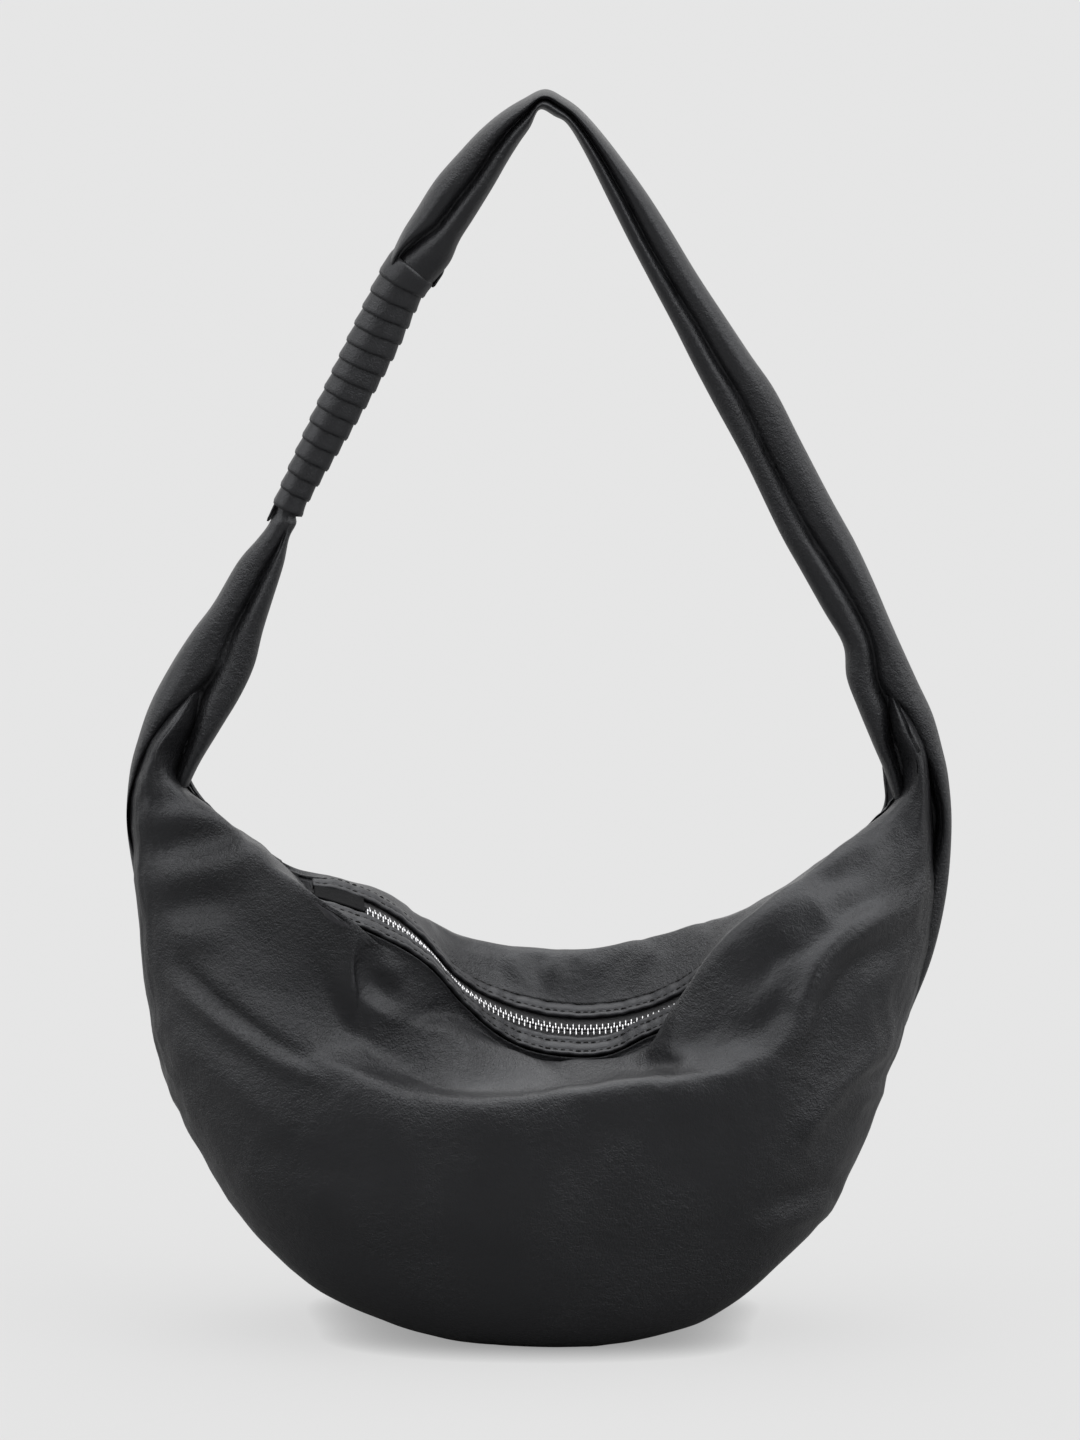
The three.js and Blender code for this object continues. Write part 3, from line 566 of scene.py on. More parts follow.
FRONT_FOLDS = [
    (2.6, 4.5, [(-158, 160), (-150, 151), (-139, 141), (-127, 132), (-116, 124.5), (-105, 118), (-90, 110)]),
    (-2.6, 4.0, [(-150, 166), (-146, 156), (-136, 145), (-124, 135.5), (-110, 126), (-94, 117)]),
    (3.8, 8.0, [(-160, 194), (-140, 199), (-118, 205)]),
    (-2.4, 7.0, [(-158, 209), (-141, 212), (-124, 214)]),
    (2.2, 6.5, [(-162, 218), (-152, 220), (-142, 223)]),
    (2.0, 7.0, [(-154, 171), (-141, 172), (-127, 175)]),
    (-1.8, 7.0, [(-156, 182), (-142, 185), (-128, 187)]),
    (1.8, 4.0, [(-84, 163), (-79, 152), (-71.5, 143), (-60.5, 137), (-49, 134.5), (-38, 131), (-26, 125)]),
    (-1.6, 5.5, [(-96, 164), (-90, 150), (-78, 135), (-62, 124), (-44, 118)]),
    (1.6, 5.0, [(-68, 162), (-63, 158), (-57, 153)]),
    (-1.5, 4.0, [(-71, 158), (-66, 150), (-58, 144)]),
    (2.6, 6.5, [(155, 190), (137, 177.5), (120, 164), (112, 149), (106.5, 133), (98.5, 119.5)]),
    (-2.6, 7.0, [(150, 170), (134, 160), (124, 146), (117, 128), (108, 112)]),
    (-1.8, 7.0, [(140, 206), (126, 199), (112, 193)]),
    (-2.2, 7.5, [(104, 146), (94, 134), (80, 129)]),
    (2.6, 5.0, [(146, 132), (139, 122), (130, 113), (118, 102), (106, 88)]),
    (-2.2, 4.5, [(147, 119), (140, 112), (128, 102), (116, 90)]),
    (2.0, 4.5, [(145, 110), (134, 105), (120, 97), (108, 84)]),
    (-1.6, 6.0, [(136, 97), (124, 90), (112, 78)]),
    (1.8, 5.0, [(123, 62), (110, 55.5), (96, 51), (84, 50)]),
    (-1.5, 5.0, [(124, 70), (110, 64), (96, 59)]),
    (2.8, 6.0, [(9, 116), (19, 121), (33, 123), (45, 121)]),
    (-1.6, 4.0, [(36, 117), (48, 119), (60, 118)]),
    (1.6, 8.0, [(-155, 131), (-139, 118), (-121, 101), (-104, 86)]),
    (-1.2, 7.0, [(-150, 118), (-134, 103), (-116, 88)]),
    (1.0, 9.0, [(-128, 72), (-106, 62), (-84, 56)]),
    (-0.9, 8.0, [(-118, 84), (-92, 74), (-66, 70)]),
]
BACK_FOLDS = [
    (1.6, 3.5, [(-56, 180), (-50, 172), (-43, 163)]),
    (1.2, 4.0, [(-12, 165), (-10, 155), (-6, 146)]),
    (-1.0, 3.5, [(-18, 164), (-17, 155), (-14, 147)]),
    (1.1, 4.0, [(8, 164), (6, 155), (5, 147)]),
    (-0.9, 4.0, [(0, 164), (-1, 156), (-1, 148)]),
    (1.2, 6.0, [(44, 170), (40, 158), (36, 148)]),
    (1.3, 6.0, [(70, 176), (62, 165), (56, 155)]),
    (2.4, 9.0, [(-148, 178), (-120, 150), (-84, 128), (-44, 118)]),
    (-2.0, 9.0, [(-140, 150), (-108, 122), (-70, 104), (-30, 96)]),
    (2.4, 9.0, [(150, 182), (126, 152), (92, 130), (54, 120)]),
    (-2.0, 9.0, [(144, 152), (112, 122), (74, 104), (36, 97)]),
    (1.6, 10.0, [(-130, 110), (-96, 80), (-50, 62)]),
    (1.6, 10.0, [(134, 112), (100, 82), (54, 64)]),
]


# how many noise cells a metre the creases have, and their height in mm
CREASES = ((26, 0.9), (62, 0.30), (150, 0.10))


def crumple(grid, side, seed):
    """Fine irregular creases of soft leather, stronger where the sheet is gathered."""
    amount = np.zeros(grid.shape[:2])
    shift = Vector((seed * 3.1, seed * 1.7, seed * 0.9))
    for i in range(grid.shape[0]):
        for j in range(grid.shape[1]):
            p = Vector(grid[i, j])
            amount[i, j] = sum(noise.noise(p * cells + shift) * height for cells, height in CREASES)
    amount *= fade_in(grid.shape[1], 12, 14)
    return above_floor(grid + outward_normals(grid, side) * amount[..., None] * MM)


front_rim = rim(-1, FRONT_CLOSURE)
back_rim = rim(1, BACK_CLOSURE)
front_grid = panel_grid(
    [front_rim, below_rim(front_rim, -1), line(FRONT_RIDGE), line(FRONT_HOLLOW), line(FRONT_LIP),
     line(FRONT_BELLY_TOP), line(FRONT_BELLY), line(FRONT_LOW), line(SEAM)],
    [0, 0.35, 1.6, 3.0, 4.2, 5.4, 7.0, 8.6, 10.0])
BACK_SEAM = [(s, x, v, 0.6 if abs(y) < 1 else 2) for s, x, v, y in SEAM]
back_grid = panel_grid(
    [back_rim, line(BACK_TOP), line(BACK_SHOULDER), line(BACK_BELLY), line(BACK_LOW), line(BACK_SEAM)],
    [0, 1.6, 3.4, 6.0, 8.4, 10.0])


SETTLE_STEP = 2
SETTLE_FRAMES = 24
SETTLE_GROWTH = 0.014
SETTLE_HELD = 0.16
HELD_STATIONS, HELD_ROWS = 4, 7
SETTLE_LIMIT = 4.0


def held_weights(rows, columns):
    """How firmly the simulation holds each point of a panel: wholly at its edges, little between."""
    i, j = np.meshgrid(np.arange(rows), np.arange(columns), indexing="ij")
    from_ends = np.minimum(i, rows - 1 - i) / (rows * HELD_STATIONS / TIP)
    from_edges = np.minimum(j, columns - 1 - j) / HELD_ROWS
    station, share = i * TIP / (rows - 1), j / (columns - 1)
    # the belly's full middle is held more firmly, so that its outline stays
    full = np.exp(-((station - TIP / 2) / 5.0) ** 2) * ease(share, 0.36, 0.56)
    return np.clip(1 - np.minimum(from_ends, from_edges), SETTLE_HELD + (1 - SETTLE_HELD) * 0.8 * full, 1)


def simulated(grid):
    """A grid of points after a cloth simulation that lets it grow, sag and crease."""
    rows, columns = grid.shape[:2]
    quads = [(i * columns + j, i * columns + j + 1, (i + 1) * columns + j + 1, (i + 1) * columns + j)
             for i in range(rows - 1) for j in range(columns - 1)]
    piece = mesh_piece("settling_leather", grid.reshape(-1, 3), quads, LEATHER)
    group = piece.vertex_groups.new(name="held")
    for index, weight in enumerate(held_weights(rows, columns).ravel()):
        group.add([index], float(weight), "REPLACE")
    simulation = piece.modifiers.new("settle", "CLOTH")
    leather_sheet = simulation.settings
    leather_sheet.quality = 6
    leather_sheet.mass = 0.02
    leather_sheet.tension_stiffness = 12
    leather_sheet.compression_stiffness = 12
    leather_sheet.shear_stiffness = 6
    leather_sheet.bending_stiffness = 0.6
    leather_sheet.vertex_group_mass = "held"
    leather_sheet.shrink_min = -SETTLE_GROWTH
    simulation.point_cache.frame_start = 1
    simulation.point_cache.frame_end = SETTLE_FRAMES
    scene = bpy.context.scene
    for step in range(1, SETTLE_FRAMES + 1):
        scene.frame_set(step)
    settled = piece.evaluated_get(bpy.context.evaluated_depsgraph_get()).to_mesh()
    points = np.empty(rows * columns * 3)
    settled.vertices.foreach_get("co", points)
    scene.frame_set(1)
    mesh = piece.data
    bpy.data.objects.remove(piece)
    bpy.data.meshes.remove(mesh)
    return points.reshape(rows, columns, 3)


def filled_in(values, count):
    """Smooth values at count places, from values at every SETTLE_STEP-th of them."""
    knots = np.arange(len(values)) * SETTLE_STEP
    flat = through(knots, values.reshape(len(values), -1), np.arange(count))
    return flat.reshape(count, *values.shape[1:])


def settle(grid):
    """The panel after a cloth simulation: slightly roomier leather that sags, its edges held."""
    coarse = grid[::SETTLE_STEP, ::SETTLE_STEP]
    moved = simulated(coarse) - coarse
    size = np.linalg.norm(moved, axis=2, keepdims=True) / MM
    moved *= np.minimum(1, SETTLE_LIMIT / np.maximum(size, 1e-6))
    fine = filled_in(relax(moved, 2), grid.shape[0]).transpose(1, 0, 2)
    return above_floor(grid + filled_in(fine, grid.shape[1]).transpose(1, 0, 2))


front_grid = crumple(settle(add_folds(front_grid, -1, FRONT_FOLDS)), -1, 1)
back_grid = crumple(settle(add_folds(back_grid, 1, BACK_FOLDS)), 1, 2)


def panel(name, grid, side, node):
    """A leather panel, its thickness on the inside."""
    inner = above_floor(grid - LEATHER_THICKNESS * outward_normals(grid, side), INNER_FLOOR)
    # where the rim folds over tightly the inside stays below the outside
    inner[:, :TURNED_ROWS, 2] = np.minimum(inner[:, :TURNED_ROWS, 2], grid[:, :TURNED_ROWS, 2])
    piece = sheet(name, grid, inner, LEATHER)
    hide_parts(node)
    return piece


# how far inside the leather's outer face each cloth's two faces lie
LINING_DEPTHS = (0.0024, 0.0031)
POCKET_DEPTHS = (0.0040, 0.0047)
BINDING_DEPTHS = (0.0034, 0.0041)


def inside(grid, side, depth):
    """The grid moved inwards by depth, kept on its own side of the bag's middle."""
    moved = above_floor(grid - depth * outward_normals(grid, side), depth)
    moved[..., 1] = side * np.maximum(side * moved[..., 1], MIDDLE_GAP)
    return moved


def lining(name, grid, side, node):
    """The cloth lining, a little inside the leather between the horns."""
    part = slice(PANEL_STEPS * 5 // TIP, PANEL_STEPS * 15 // TIP, 3)
    rows = slice(6, PANEL_ROWS - 3, 3)
    outer, inner = (inside(grid, side, depth)[part, rows] for depth in LINING_DEPTHS)
    fixed(sheet(name, outer, inner, LINING), node)


for piece in (panel("front_leather", front_grid, -1, "front_panel"),
              panel("back_leather", back_grid, 1, "back_panel")):
    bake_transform(piece)

# ---- strap ----

# Each place along the strap: outer edge (x, height seen), inner edge, groove between them (0 inner,
# 1 outer), half depth, depth of the middle and, where the rolls part, half the gap between them.
STRAP_PLACES = [
    ((-157.5, 134), (-155.5, 136), 0.5, 1.5, 2), ((-162.5, 160), (-155, 162), 0.5, 4, 3),
    ((-168, 190), (-153, 194), 0.5, 7, 3), ((-172, 217), (-150, 222), 0.62, 8.5, 2, 0.34),
    ((-171, 239), (-143.5, 240), 0.56, 10, 1, 0.29), ((-167, 255), (-133.5, 257), 0.55, 11, 0, 0.2),
    ((-162, 269), (-125, 271), 0.5, 11, 0, 0.08), ((-154, 284), (-119, 284), 0.42, 10, 0),
    ((-145, 298), (-115.5, 298), 0.42, 9.5, 0), ((-136, 310), (-111.5, 311), 0.4, 9, 0),
    ((-126, 327), (-106.8, 326), 0.32, 7.5, 0), ((-117.5, 337), (-104.5, 337), 0.2, 6, 0),
    ((-112.5, 344), (-101.5, 343), 0.3, 5, 0), ((-108, 356), (-97.5, 353), 0.4, 4.6, 0),
    ((-93, 390), (-78, 385), 0.4, 6, 0), ((-80, 418), (-62, 413), 0.4, 7, 0),
    ((-68.5, 442), (-51, 436), 0.5, 8, 0), ((-62.5, 454), (-44.5, 443.5), 0.85, 10, 0),
    ((-57.5, 464.5), (-37.5, 452), 0.72, 11.5, 0), ((-51.5, 474), (-33.5, 461), 0.52, 12, 0),
    ((-43.5, 486.5), (-27.5, 470.5), 0.46, 12.5, 0), ((-33.5, 498), (-19.5, 483.5), 0.44, 13, 0),
    ((-25, 507), (-13.5, 494), 0.46, 13.5, 0), ((-16, 514.5), (-8.5, 502), 0.5, 14, 0),
    ((-7, 520), (-4, 508.5), 0.55, 14, 0), ((2, 524), (-0.2, 515.8), 0.62, 14, 0),
    ((10, 520.5), (6, 513), 0.6, 14, 0), ((18, 514.5), (11.5, 509.5), 0.5, 14, 0),
    ((28.5, 502.5), (19, 497), 0.48, 13, 0), ((43, 483), (28.5, 478), 0.42, 11.5, 0),
    ((54, 466), (37, 461), 0.38, 10.5, 0), ((65.5, 447), (47, 442), 0.4, 10, 0),
    ((78, 428), (56, 425), 0.42, 10, 0), ((88, 413), (64, 409), 0.42, 10, 0),
    ((98, 398.5), (73, 392), 0.44, 10, 0), ((108.5, 378), (85.5, 369), 0.4, 10, 0),
    ((121, 354), (99.5, 340), 0.42, 10, 0), ((131, 336), (109, 323), 0.46, 10, 0),
    ((139, 319), (118, 307), 0.52, 10, 0), ((147.5, 299), (126.3, 292.5), 0.52, 10, 0),
    ((157, 278), (127.7, 279), 0.44, 10.5, 0, 0.02), ((163.5, 264), (132.5, 266), 0.47, 11, 0, 0.08),
    ((167.5, 250), (138.5, 251.5), 0.45, 11, 1, 0.18), ((170.2, 237), (144, 238), 0.48, 10, 2, 0.22),
    ((171.5, 217), (149, 218), 0.5, 9, 3, 0.25), ((169.5, 190), (150, 192), 0.5, 8, 4),
    ((163.5, 163), (149, 166), 0.5, 6.5, 4), ((154, 139), (146, 141), 0.5, 4, 3),
    ((145, 117), (143, 119), 0.5, 1.5, 2)]
# places along the strap, and how deep the groove between the rolls is there, from 0 to 1
GROOVE_DEPTHS = [
    (0, 0.0), (2, 0.6), (4, 0.9), (6, 0.8), (11, 0.7), (12, 0.1), (16.5, 0.1), (17, 0.6), (19, 0.7),
    (24, 0.7), (26, 0.6), (30, 0.7), (41, 0.8), (44, 0.9), (46, 0.5), (48, 0.0)]
STRAP_STEPS = 420
STRAP_AROUND = 96
GRIP_FIRST, GRIP_LAST = 12.0, 17.0
GRIP_GATHER = 0.0012


def strap_frames(places):
    """The strap's middle, sideways half width, groove and half depth at places along it."""
    knots = np.arange(len(STRAP_PLACES))
    outer = np.array([seen(*p[0], p[4]) for p in STRAP_PLACES])
    inner = np.array([seen(*p[1], p[4]) for p in STRAP_PLACES])
    rest = np.array([(p[2], p[3] * MM, p[5] if len(p) > 5 else 0.0) for p in STRAP_PLACES])
    outer, inner, rest = (through(knots, values, places) for values in (outer, inner, rest))
    return (outer + inner) / 2, (outer - inner) / 2, rest[:, 0] * 2 - 1, rest[:, 1], rest[:, 2] * 2


def lobes(x, groove, gap):
    """Height of two rolls side by side that meet at the groove, or part round it, over x from -1 to 1."""
    left = x < groove
    edge = np.where(left, groove - gap, groove + gap)
    middle = np.where(left, (edge - 1) / 2, (edge + 1) / 2)
    half = np.where(left, (edge + 1) / 2, (1 - edge) / 2)
    return np.sqrt(np.clip(1 - ((x - middle) / np.maximum(half, 0.02)) ** 2, 0, 1)) ** 0.9


def strap_section(places, groove_depth, margin=0.0):
    """Points round the strap, places by angle: two rolls that meet along a groove in front."""
    middle, sideways, groove, depth, gap = strap_frames(places)
    angle = np.linspace(0, 2 * math.pi, STRAP_AROUND, endpoint=False)
    across = -np.cos(angle)[None, :]
    front = (np.sin(angle) >= 0)[None, :]
    round_height = np.sqrt(np.clip(1 - across**2, 0, 1)) ** 0.85
    deep = np.asarray(groove_depth)[:, None]
    front_height = (1 - deep) * round_height + deep * lobes(across, groove[:, None], gap[:, None])
    height = np.where(front, -front_height, round_height)
    width = np.linalg.norm(sideways, axis=1)
    grow = 1 + margin / np.maximum(width, 1e-6)
    points = middle[:, None, :] + across[..., None] * (sideways * grow[:, None])[:, None, :]
    points[..., 1] += height * (depth + margin)[:, None]
    return points


def strap_skin():
    """The strap's leather as one tube, drawn in a little under the grip."""
    places = np.linspace(0, len(STRAP_PLACES) - 1, STRAP_STEPS + 1)
    knots, depths = np.array(GROOVE_DEPTHS).T
    deep = through(knots, depths[:, None], places)[:, 0]
    under_grip = ease(places, GRIP_FIRST, GRIP_FIRST + 0.5) * (1 - ease(places, GRIP_LAST - 0.5, GRIP_LAST))
    gathered = -GRIP_GATHER * under_grip
    outer = relax(strap_section(places, deep, gathered), 2, around=True)
    inner = strap_section(places, deep, gathered - LEATHER_THICKNESS)
    piece = sheet("strap_skin", outer, inner, LEATHER, around=True)
    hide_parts("strap_leather", "strap_root_left", "strap_root_right", "strap_tape")
    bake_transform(piece)


strap_skin()

lining("lining_front_cloth", front_grid, -1, "lining_front")
lining("lining_back_cloth", back_grid, 1, "lining_back")


def pocket_and_binding():
    """The slip pocket on the back lining, and the tape over the seam's raw edges inside."""
    part = slice(PANEL_STEPS * 8 // TIP, PANEL_STEPS * 13 // TIP, 3)
    rows = slice(PANEL_ROWS * 3 // 10, PANEL_ROWS * 6 // 10, 3)
    outer, inner = (inside(back_grid, 1, depth)[part, rows] for depth in POCKET_DEPTHS)
    fixed(sheet("slip_pocket_cloth", outer, inner, LINING), "slip_pocket")
    part = slice(PANEL_STEPS * 4 // TIP, PANEL_STEPS * 16 // TIP, 3)
    strips = []
    for depth in BINDING_DEPTHS:
        front = inside(front_grid, -1, depth)[part, -12:-2:3]
        back = inside(back_grid, 1, depth)[part, -12:-2:3][:, ::-1]
        strips.append(np.concatenate([front, back], axis=1))
    fixed(sheet("seam_tape", strips[0], strips[1], TAPE), "seam_binding")


pocket_and_binding()

# ---- grip ----

LACE_TURNS = 15.5
LACE_STEPS = 72
LACE_LAP = 1.25
LACE_THICKNESS = 0.0009
# across the lace from its lower edge, and how far its outer face stands off the strap there
LACE_ACROSS, LACE_LIFT = (0, 0.08, 0.8, 1.0), (0.0014, 0.0017, 0.0008, 0.0001)


def strap_lengths():
    """Places along the strap and the length in metres at each."""
    places = np.linspace(0, len(STRAP_PLACES) - 1, 4000)
    middle = strap_frames(places)[0]
    steps = np.linalg.norm(np.diff(middle, axis=0), axis=1)
    return places, np.concatenate([[0], np.cumsum(steps)])


def grip_wrap():
    """A flat lace wound round the strap; each turn's lower edge laps over the turn below."""
    places, lengths = strap_lengths()
    first, last = np.interp([GRIP_FIRST, GRIP_LAST], places, lengths)
    pitch = (last - first) / (LACE_TURNS + 0.3)
    band = np.linspace(0, 1, 9)
    count = int(LACE_TURNS * LACE_STEPS)
    angle = 2 * math.pi * np.arange(count + 1) / LACE_STEPS
    low = first + pitch * angle / (2 * math.pi)
    length = low[:, None] + band[None, :] * pitch * LACE_LAP
    at = np.interp(length.ravel(), lengths, places)
    middle, sideways, _, depth, _ = strap_frames(at)
    width = np.linalg.norm(sideways, axis=1)
    # the lower edge stands out over the turn below, and the upper edge is tucked under the next
    lift = np.tile(np.interp(band, LACE_ACROSS, LACE_LIFT), count + 1)
    turned = np.repeat(angle, len(band)) + math.pi / 2

    def face(extra):
        unit = sideways / width[:, None]
        points = middle + unit * ((width + extra) * np.sin(turned))[:, None]
        points[:, 1] -= (depth + extra) * np.cos(turned)
        return points.reshape(count + 1, len(band), 3)

    piece = sheet("grip_lace", face(lift), face(lift - LACE_THICKNESS), LACE)
    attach(piece, "strap")
    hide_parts("strap_wrap")


grip_wrap()

# ---- zip ----

FACING_START = -0.021
FACING_INNER = 0.0068
FACING_OUTER = {-1: 0.0176, 1: 0.0158}
FACING_LOW, FACING_TOP = 0.0007, 0.0023
FACING_ROUND = 0.0007
# how far the thread pulls the leather down, and how far it swells beside the rows
STITCH_PULL, PUFF = 0.00058, 0.00028
TAB_ALONG, TAB_ACROSS = (-0.0205, 0.0010), (-0.0050, 0.0065)
TAB_LOW, TAB_TOP = 0.0013, 0.0022
STITCH_ROWS = (0.0031, 0.0085)
STITCH_PITCH, STITCH_LENGTH, STITCH_RADIUS = 0.0033, 0.0024, 0.00042
STITCH_RAISE, STITCH_MARGIN = 0.00012, 0.002


def swept(name, bodies, material):
    """Closed solids in one mesh, each swept through rings of points, their faces turned outwards."""
    points, faces = [], []
    for rings in bodies:
        first, (count, size) = len(points), rings.shape[:2]
        points.extend(rings.reshape(-1, 3))
        for i in range(count - 1):
            start = first + i * size
            for j in range(size):
                k = (j + 1) % size
                faces.append((start + j, start + k, start + size + k, start + size + j))
        faces.append([first + j for j in range(size)][::-1])
        faces.append([first + (count - 1) * size + j for j in range(size)])
    piece = mesh_piece(name, points, faces, material)
    edit = bmesh.new()
    edit.from_mesh(piece.data)
    bmesh.ops.recalc_face_normals(edit, faces=edit.faces)
    edit.to_mesh(piece.data)
    edit.free()
    return piece


def facing_top(reach):
    """Height of a facing's upper face at a distance from its inner edge: soft between the stitch rows."""
    reach = np.asarray(reach, float)
    puff = sum(PUFF * np.exp(-((reach - middle) / 0.0016) ** 2) for middle in (0.0013, 0.0058))
    pull = sum(STITCH_PULL * np.exp(-((reach - row) / 0.0008) ** 2) for row in STITCH_ROWS)
    return FACING_TOP + puff - pull


def facing(name, side, node):
    """A stitched leather strip beside the chain, its upper edges rounded and its face a little wavy."""
    along = np.linspace(FACING_START, ZIP_LENGTH, 300)
    width = FACING_OUTER[side] - FACING_INNER
    edge = np.concatenate([[0.0], 0.0004 * (1 - np.cos(np.linspace(0.3, 1.57, 4)))])
    reach = np.concatenate([edge, np.linspace(0.0006, width - 0.0006, 26), width - edge[::-1]])
    from_edge = np.minimum(reach, width - reach) / FACING_ROUND
    top = facing_top(reach) - FACING_ROUND * (1 - np.sqrt(1 - np.clip(1 - from_edge, 0, 1) ** 2))
    profile_across = side * (FACING_INNER + np.concatenate([reach, [width * 0.98, width * 0.02]]))
    profile_above = np.concatenate([top, [FACING_LOW, FACING_LOW]])
    wave = 0.00018 * np.sin(along * 410) + 0.00012 * np.sin(along * 950 + 1.3)
    rings = zip_point(along[:, None], profile_across[None, :], profile_above[None, :] + wave[:, None])
    fixed(swept(name, [rings], FACING), node)


def stitch(middle, forward, up):
    """The rings of one short rounded thread, its ends pulled down."""
    forward, up = (way / np.linalg.norm(way) for way in (forward, up))
    third = np.cross(forward, up)
    rings = []
    for step in np.linspace(-1, 1, 7):
        radius = STITCH_RADIUS * math.sqrt(max(1 - step**4, 0.02))
        sag = 0.6 * STITCH_RADIUS * step**2
        centre = middle + forward * step * STITCH_LENGTH / 2
        rings.append([centre + up * (radius * math.sin(a) - sag) + third * radius * math.cos(a)
                      for a in np.linspace(0, 2 * math.pi, 6, endpoint=False)])
    return np.array(rings)


def stitching(name, side):
    """Both rows of thread on a facing."""
    stitches = []
    for row in STITCH_ROWS:
        across = side * (FACING_INNER + row)
        height = float(facing_top(row)) + STITCH_RAISE
        for along in np.arange(FACING_START + STITCH_MARGIN, ZIP_LENGTH - STITCH_MARGIN, STITCH_PITCH):
            middle = zip_point(along, across, height)
            ahead = zip_point(along + 0.0005, across, height)
            above = zip_point(along, across, height + 0.001)
            stitches.append(stitch(middle, ahead - middle, above - middle))
    fixed(swept(name, stitches, THREAD))


def tooth_grid(half, power):
    """A rounded block as rings of points, with its half sizes."""
    rings = []
    for polar in np.linspace(-math.pi / 2 * 0.97, math.pi / 2 * 0.97, 7):
        ring = []
        for turn in np.linspace(0, 2 * math.pi, 10, endpoint=False):
            parts = (math.cos(polar) * math.cos(turn), math.cos(polar) * math.sin(turn), math.sin(polar))
            ring.append([h * math.copysign(abs(v) ** power, v) for h, v in zip(half, parts)])
        rings.append(ring)
    return np.array(rings)


TOOTH_PITCH = 0.0025
TEETH_START, TEETH_END = 0.003, ZIP_LENGTH - 0.004
# half sizes along, across and above the chain, and the distance of the middle from the chain's centre
TOOTH_HEAD = ((0.00044, 0.0011, 0.0012), 0.0003)
TOOTH_SHANK = ((0.00036, 0.0016, 0.0009), 0.0021)


def teeth(name, side, node):
    """A row of metal teeth, each with a wide head that sits between two of the other row."""
    parts = [(tooth_grid(half, 0.5), middle) for half, middle in (TOOTH_HEAD, TOOTH_SHANK)]
    start = TEETH_START + (TOOTH_PITCH / 2 if side > 0 else 0)
    blocks = [
        zip_point(along + block[..., 0], side * middle + block[..., 1], 0.0001 + block[..., 2])
        for along in np.arange(start, TEETH_END, TOOTH_PITCH) for block, middle in parts]
    fixed(swept(name, blocks, METAL), node)


def tape(name, side, node):
    """The woven tape that carries a row of teeth, with a corded edge."""
    along = np.linspace(FACING_START, ZIP_LENGTH, 220)
    reach = np.array([0.0012, 0.0016, 0.0022, 0.0027, 0.0031, 0.0060, 0.0130])
    thick = np.array([0.0003, 0.0008, 0.0009, 0.0008, 0.0003, 0.0003, 0.0003])
    across = side * np.concatenate([reach, reach[::-1]])
    above = np.concatenate([thick, -thick[::-1]]) - 0.0001
    rings = zip_point(along[:, None], across[None, :], above[None, :])
    fixed(swept(name, [rings], TAPE), node)


def facing_end(name, first, last):
    """The facings' leather carried on past an end of the zip, sagging between the panels' edges."""
    at = np.linspace(first, last, 48)
    share = np.linspace(0, 1, 13)[None, :, None]
    down = np.array([0, 0, 0.001])
    top = front_rim(at)[:, None] * (1 - share) + back_rim(at)[:, None] * share
    top = top - down * (1.2 + 3 * np.sin(np.pi * share))
    fixed(sheet(name, top, top - down, FACING))


facing_end("facing_end_left", 2.2, ZIP_FIRST + 0.3)
facing_end("facing_end_right", ZIP_LAST - 0.05, 18.2)
for word, side in (("front", -1), ("back", 1)):
    facing("facing_" + word, side, "zip_facing_" + word)
    stitching("facing_thread_" + word, side)
    teeth("teeth_" + word, side, "zip_teeth_" + word)
    tape("tape_" + word, side, "zip_tape_" + word)


def bottom_stop():
    """The small clamp that joins both tapes under the chain's left end."""
    rings = tooth_grid((0.0010, 0.0019, 0.0007), 0.4)
    placed = zip_point(0.0012 + rings[..., 0], rings[..., 1], rings[..., 2] - 0.0002)
    fixed(swept("bottom_stop", [placed], METAL), "zip_bottom_stop")


bottom_stop()


def left_tab():
    """The leather tab across the tapes before the chain starts, in the tab leather with its painted shade.
    """
    along = np.linspace(*TAB_ALONG, 20)[:, None]
    across = np.linspace(*TAB_ACROSS, 12)[None, :]
    top, low = (zip_point(along, across, above) for above in (TAB_TOP, TAB_LOW))
    fixed(sheet("left_tab", top, low, PAINTED_SHADE_TAB), "zip_end_tab_left")


left_tab()

# the parts that are shown in their own shapes, with soft edges
BEVEL = 0.0003
SHOWN_METAL = ("zip_slider", "zip_puller", "zip_top_stop_front", "zip_top_stop_back")
# the right end tab also gets the tab leather with its painted shade
SHOWN_LEATHER = ("zip_end_tab_right",)
for names, material in ((SHOWN_METAL, METAL), (SHOWN_LEATHER, PAINTED_SHADE_TAB)):
    for name in names:
        node = frame["nodes"][name]
        node.data.materials.clear()
        node.data.materials.append(material)
        bevel = node.modifiers.new("soft_edges", "BEVEL")
        bevel.width = BEVEL
        bevel.segments = 3
        bevel.limit_method = "ANGLE"

# ---- floor, light and camera ----

SOFT_PANELS = [
    # direction, cosine of the angle where it is full and where it ends, brightness
    ((0.0, 0.10, 1.0), 0.96, 0.66, 2.9),
    ((-0.80, -0.45, 0.60), 0.97, 0.78, 1.8),
    ((0.80, -0.40, 0.62), 0.97, 0.76, 2.4),
    ((0.0, 0.95, 0.25), 0.97, 0.30, 0.7),
    ((-0.88, 0.46, 0.12), 0.97, 0.84, 0.9),
    ((0.88, 0.46, 0.12), 0.97, 0.84, 0.8),
]
FILL = 0.16
FLOOR_REACH = 60
FLOOR_REFLECTED = 0.20
FLOOR_SEEN = 0.79
FLOOR_GLOW = 0.8
# reach of the ambient occlusion and the floor's darkest glow for the painted contact shadow
PAINTED_SHADOW_REACH = 0.018
PAINTED_SHADOW_GLOW = 0.40
SENSOR, LENS = 36, 180


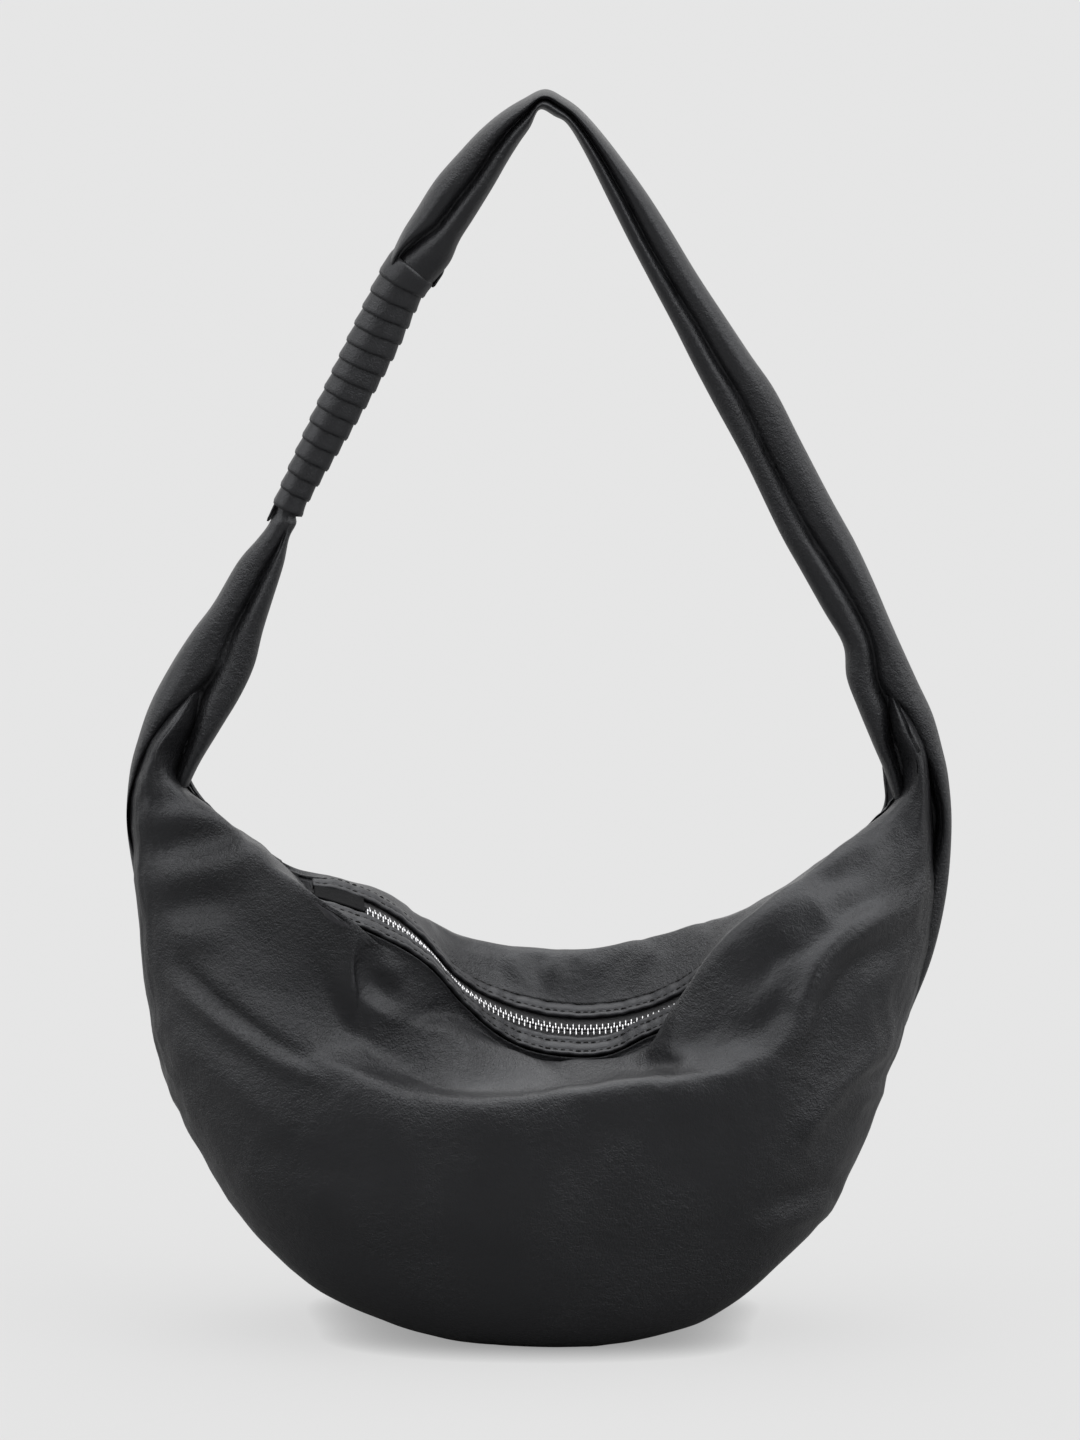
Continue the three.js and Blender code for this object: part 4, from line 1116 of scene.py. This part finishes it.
def studio():
    """An even pale floor under wide soft lights, the same in every direction it is seen from."""
    world = bpy.data.worlds.new("studio")
    bpy.context.scene.world = world
    world.use_nodes = True
    tree = world.node_tree
    link = tree.links.new
    background = tree.nodes["Background"]
    place = tree.nodes.new("ShaderNodeTexCoord").outputs["Generated"]
    total = None
    for direction, full, ends, brightness in SOFT_PANELS:
        dot = tree.nodes.new("ShaderNodeVectorMath")
        dot.operation = "DOT_PRODUCT"
        link(place, dot.inputs[0])
        dot.inputs[1].default_value = Vector(direction).normalized()
        add = tree.nodes.new("ShaderNodeMath")
        add.inputs[1].default_value = FILL
        glow = remap(tree, dot.outputs["Value"], ends, full, 0.0, brightness, "SMOOTHSTEP")
        link(glow, add.inputs[0])
        if total:
            link(total.outputs["Value"], add.inputs[1])
        total = add
    path = tree.nodes.new("ShaderNodeLightPath")
    pick = tree.nodes.new("ShaderNodeMix")
    pick.inputs["B"].default_value = FLOOR_SEEN
    link(path.outputs["Is Camera Ray"], pick.inputs["Factor"])
    link(total.outputs["Value"], pick.inputs["A"])
    link(pick.outputs["Result"], background.inputs["Color"])
    corners = [(x * FLOOR_REACH, y * FLOOR_REACH, 0) for x, y in ((-1, -1), (1, -1), (1, 1), (-1, 1))]
    mesh_piece("floor", corners, [(0, 1, 2, 3)], pale_floor(), smooth=False)


def sky_on_floor():
    """Light that reaches an open floor, as a share of white."""
    count = 40000
    k = np.arange(count) + 0.5
    up = np.sqrt(k / count)
    turn = math.pi * (1 + math.sqrt(5)) * k
    flat = np.sqrt(1 - up**2)
    ways = np.stack([flat * np.cos(turn), flat * np.sin(turn), up], axis=1)
    total = np.full(count, FILL)
    for direction, full, ends, brightness in SOFT_PANELS:
        towards = np.array(direction) / np.linalg.norm(direction)
        total += brightness * ease(ways @ towards, ends, full)
    return total.mean()


def pale_floor():
    """Pale paper, kept darker in reflections so that it does not fill the leather's dark side; as seen by
    the camera it glows, with a painted contact shadow where ambient occlusion finds the bag close above.
    """
    material, tree, shader = nodes_of(
        "pale_floor", Emission_Color=(1, 1, 1, 1), Roughness=1.0, Specular_IOR_Level=0.0)
    link = tree.links.new
    to_camera = tree.nodes.new("ShaderNodeLightPath").outputs["Is Camera Ray"]
    lit = FLOOR_SEEN * (1 - FLOOR_GLOW) / sky_on_floor()
    link(tinted(tree, to_camera, [FLOOR_REFLECTED] * 3, [lit] * 3), shader.inputs["Base Color"])
    # painted shadow: the glow seen by the camera is darkened by ambient occlusion under and beside the bag
    painted_shadow = add_node(tree, "ShaderNodeAmbientOcclusion", Distance=PAINTED_SHADOW_REACH)
    painted_shadow.samples = 8
    glow = tree.nodes.new("ShaderNodeMath")
    glow.operation = "MULTIPLY"
    link(to_camera, glow.inputs[0])
    link(remap(tree, painted_shadow.outputs["AO"], 0.0, 1.0, FLOOR_SEEN * PAINTED_SHADOW_GLOW, FLOOR_SEEN * FLOOR_GLOW),
         glow.inputs[1])
    link(glow.outputs["Value"], shader.inputs["Emission Strength"])
    return material


def camera():
    """The photograph's view: a long lens, a little above the bag."""
    data = bpy.data.cameras.new("camera")
    data.sensor_fit = "VERTICAL"
    data.sensor_height = SENSOR
    data.sensor_width = SENSOR
    data.lens = LENS
    eye = bpy.data.objects.new("camera", data)
    aim = Vector((0, 0, EYE_AIM * MM))
    back = Vector((0, -math.cos(EYE_TILT), math.sin(EYE_TILT)))
    eye.location = aim + back * EYE_DISTANCE * MM
    eye.rotation_euler = (-back).to_track_quat("-Z", "Y").to_euler()
    bpy.context.scene.collection.objects.link(eye)
    bpy.context.scene.camera = eye
    bpy.context.scene.view_settings.view_transform = "Standard"


studio()
camera()
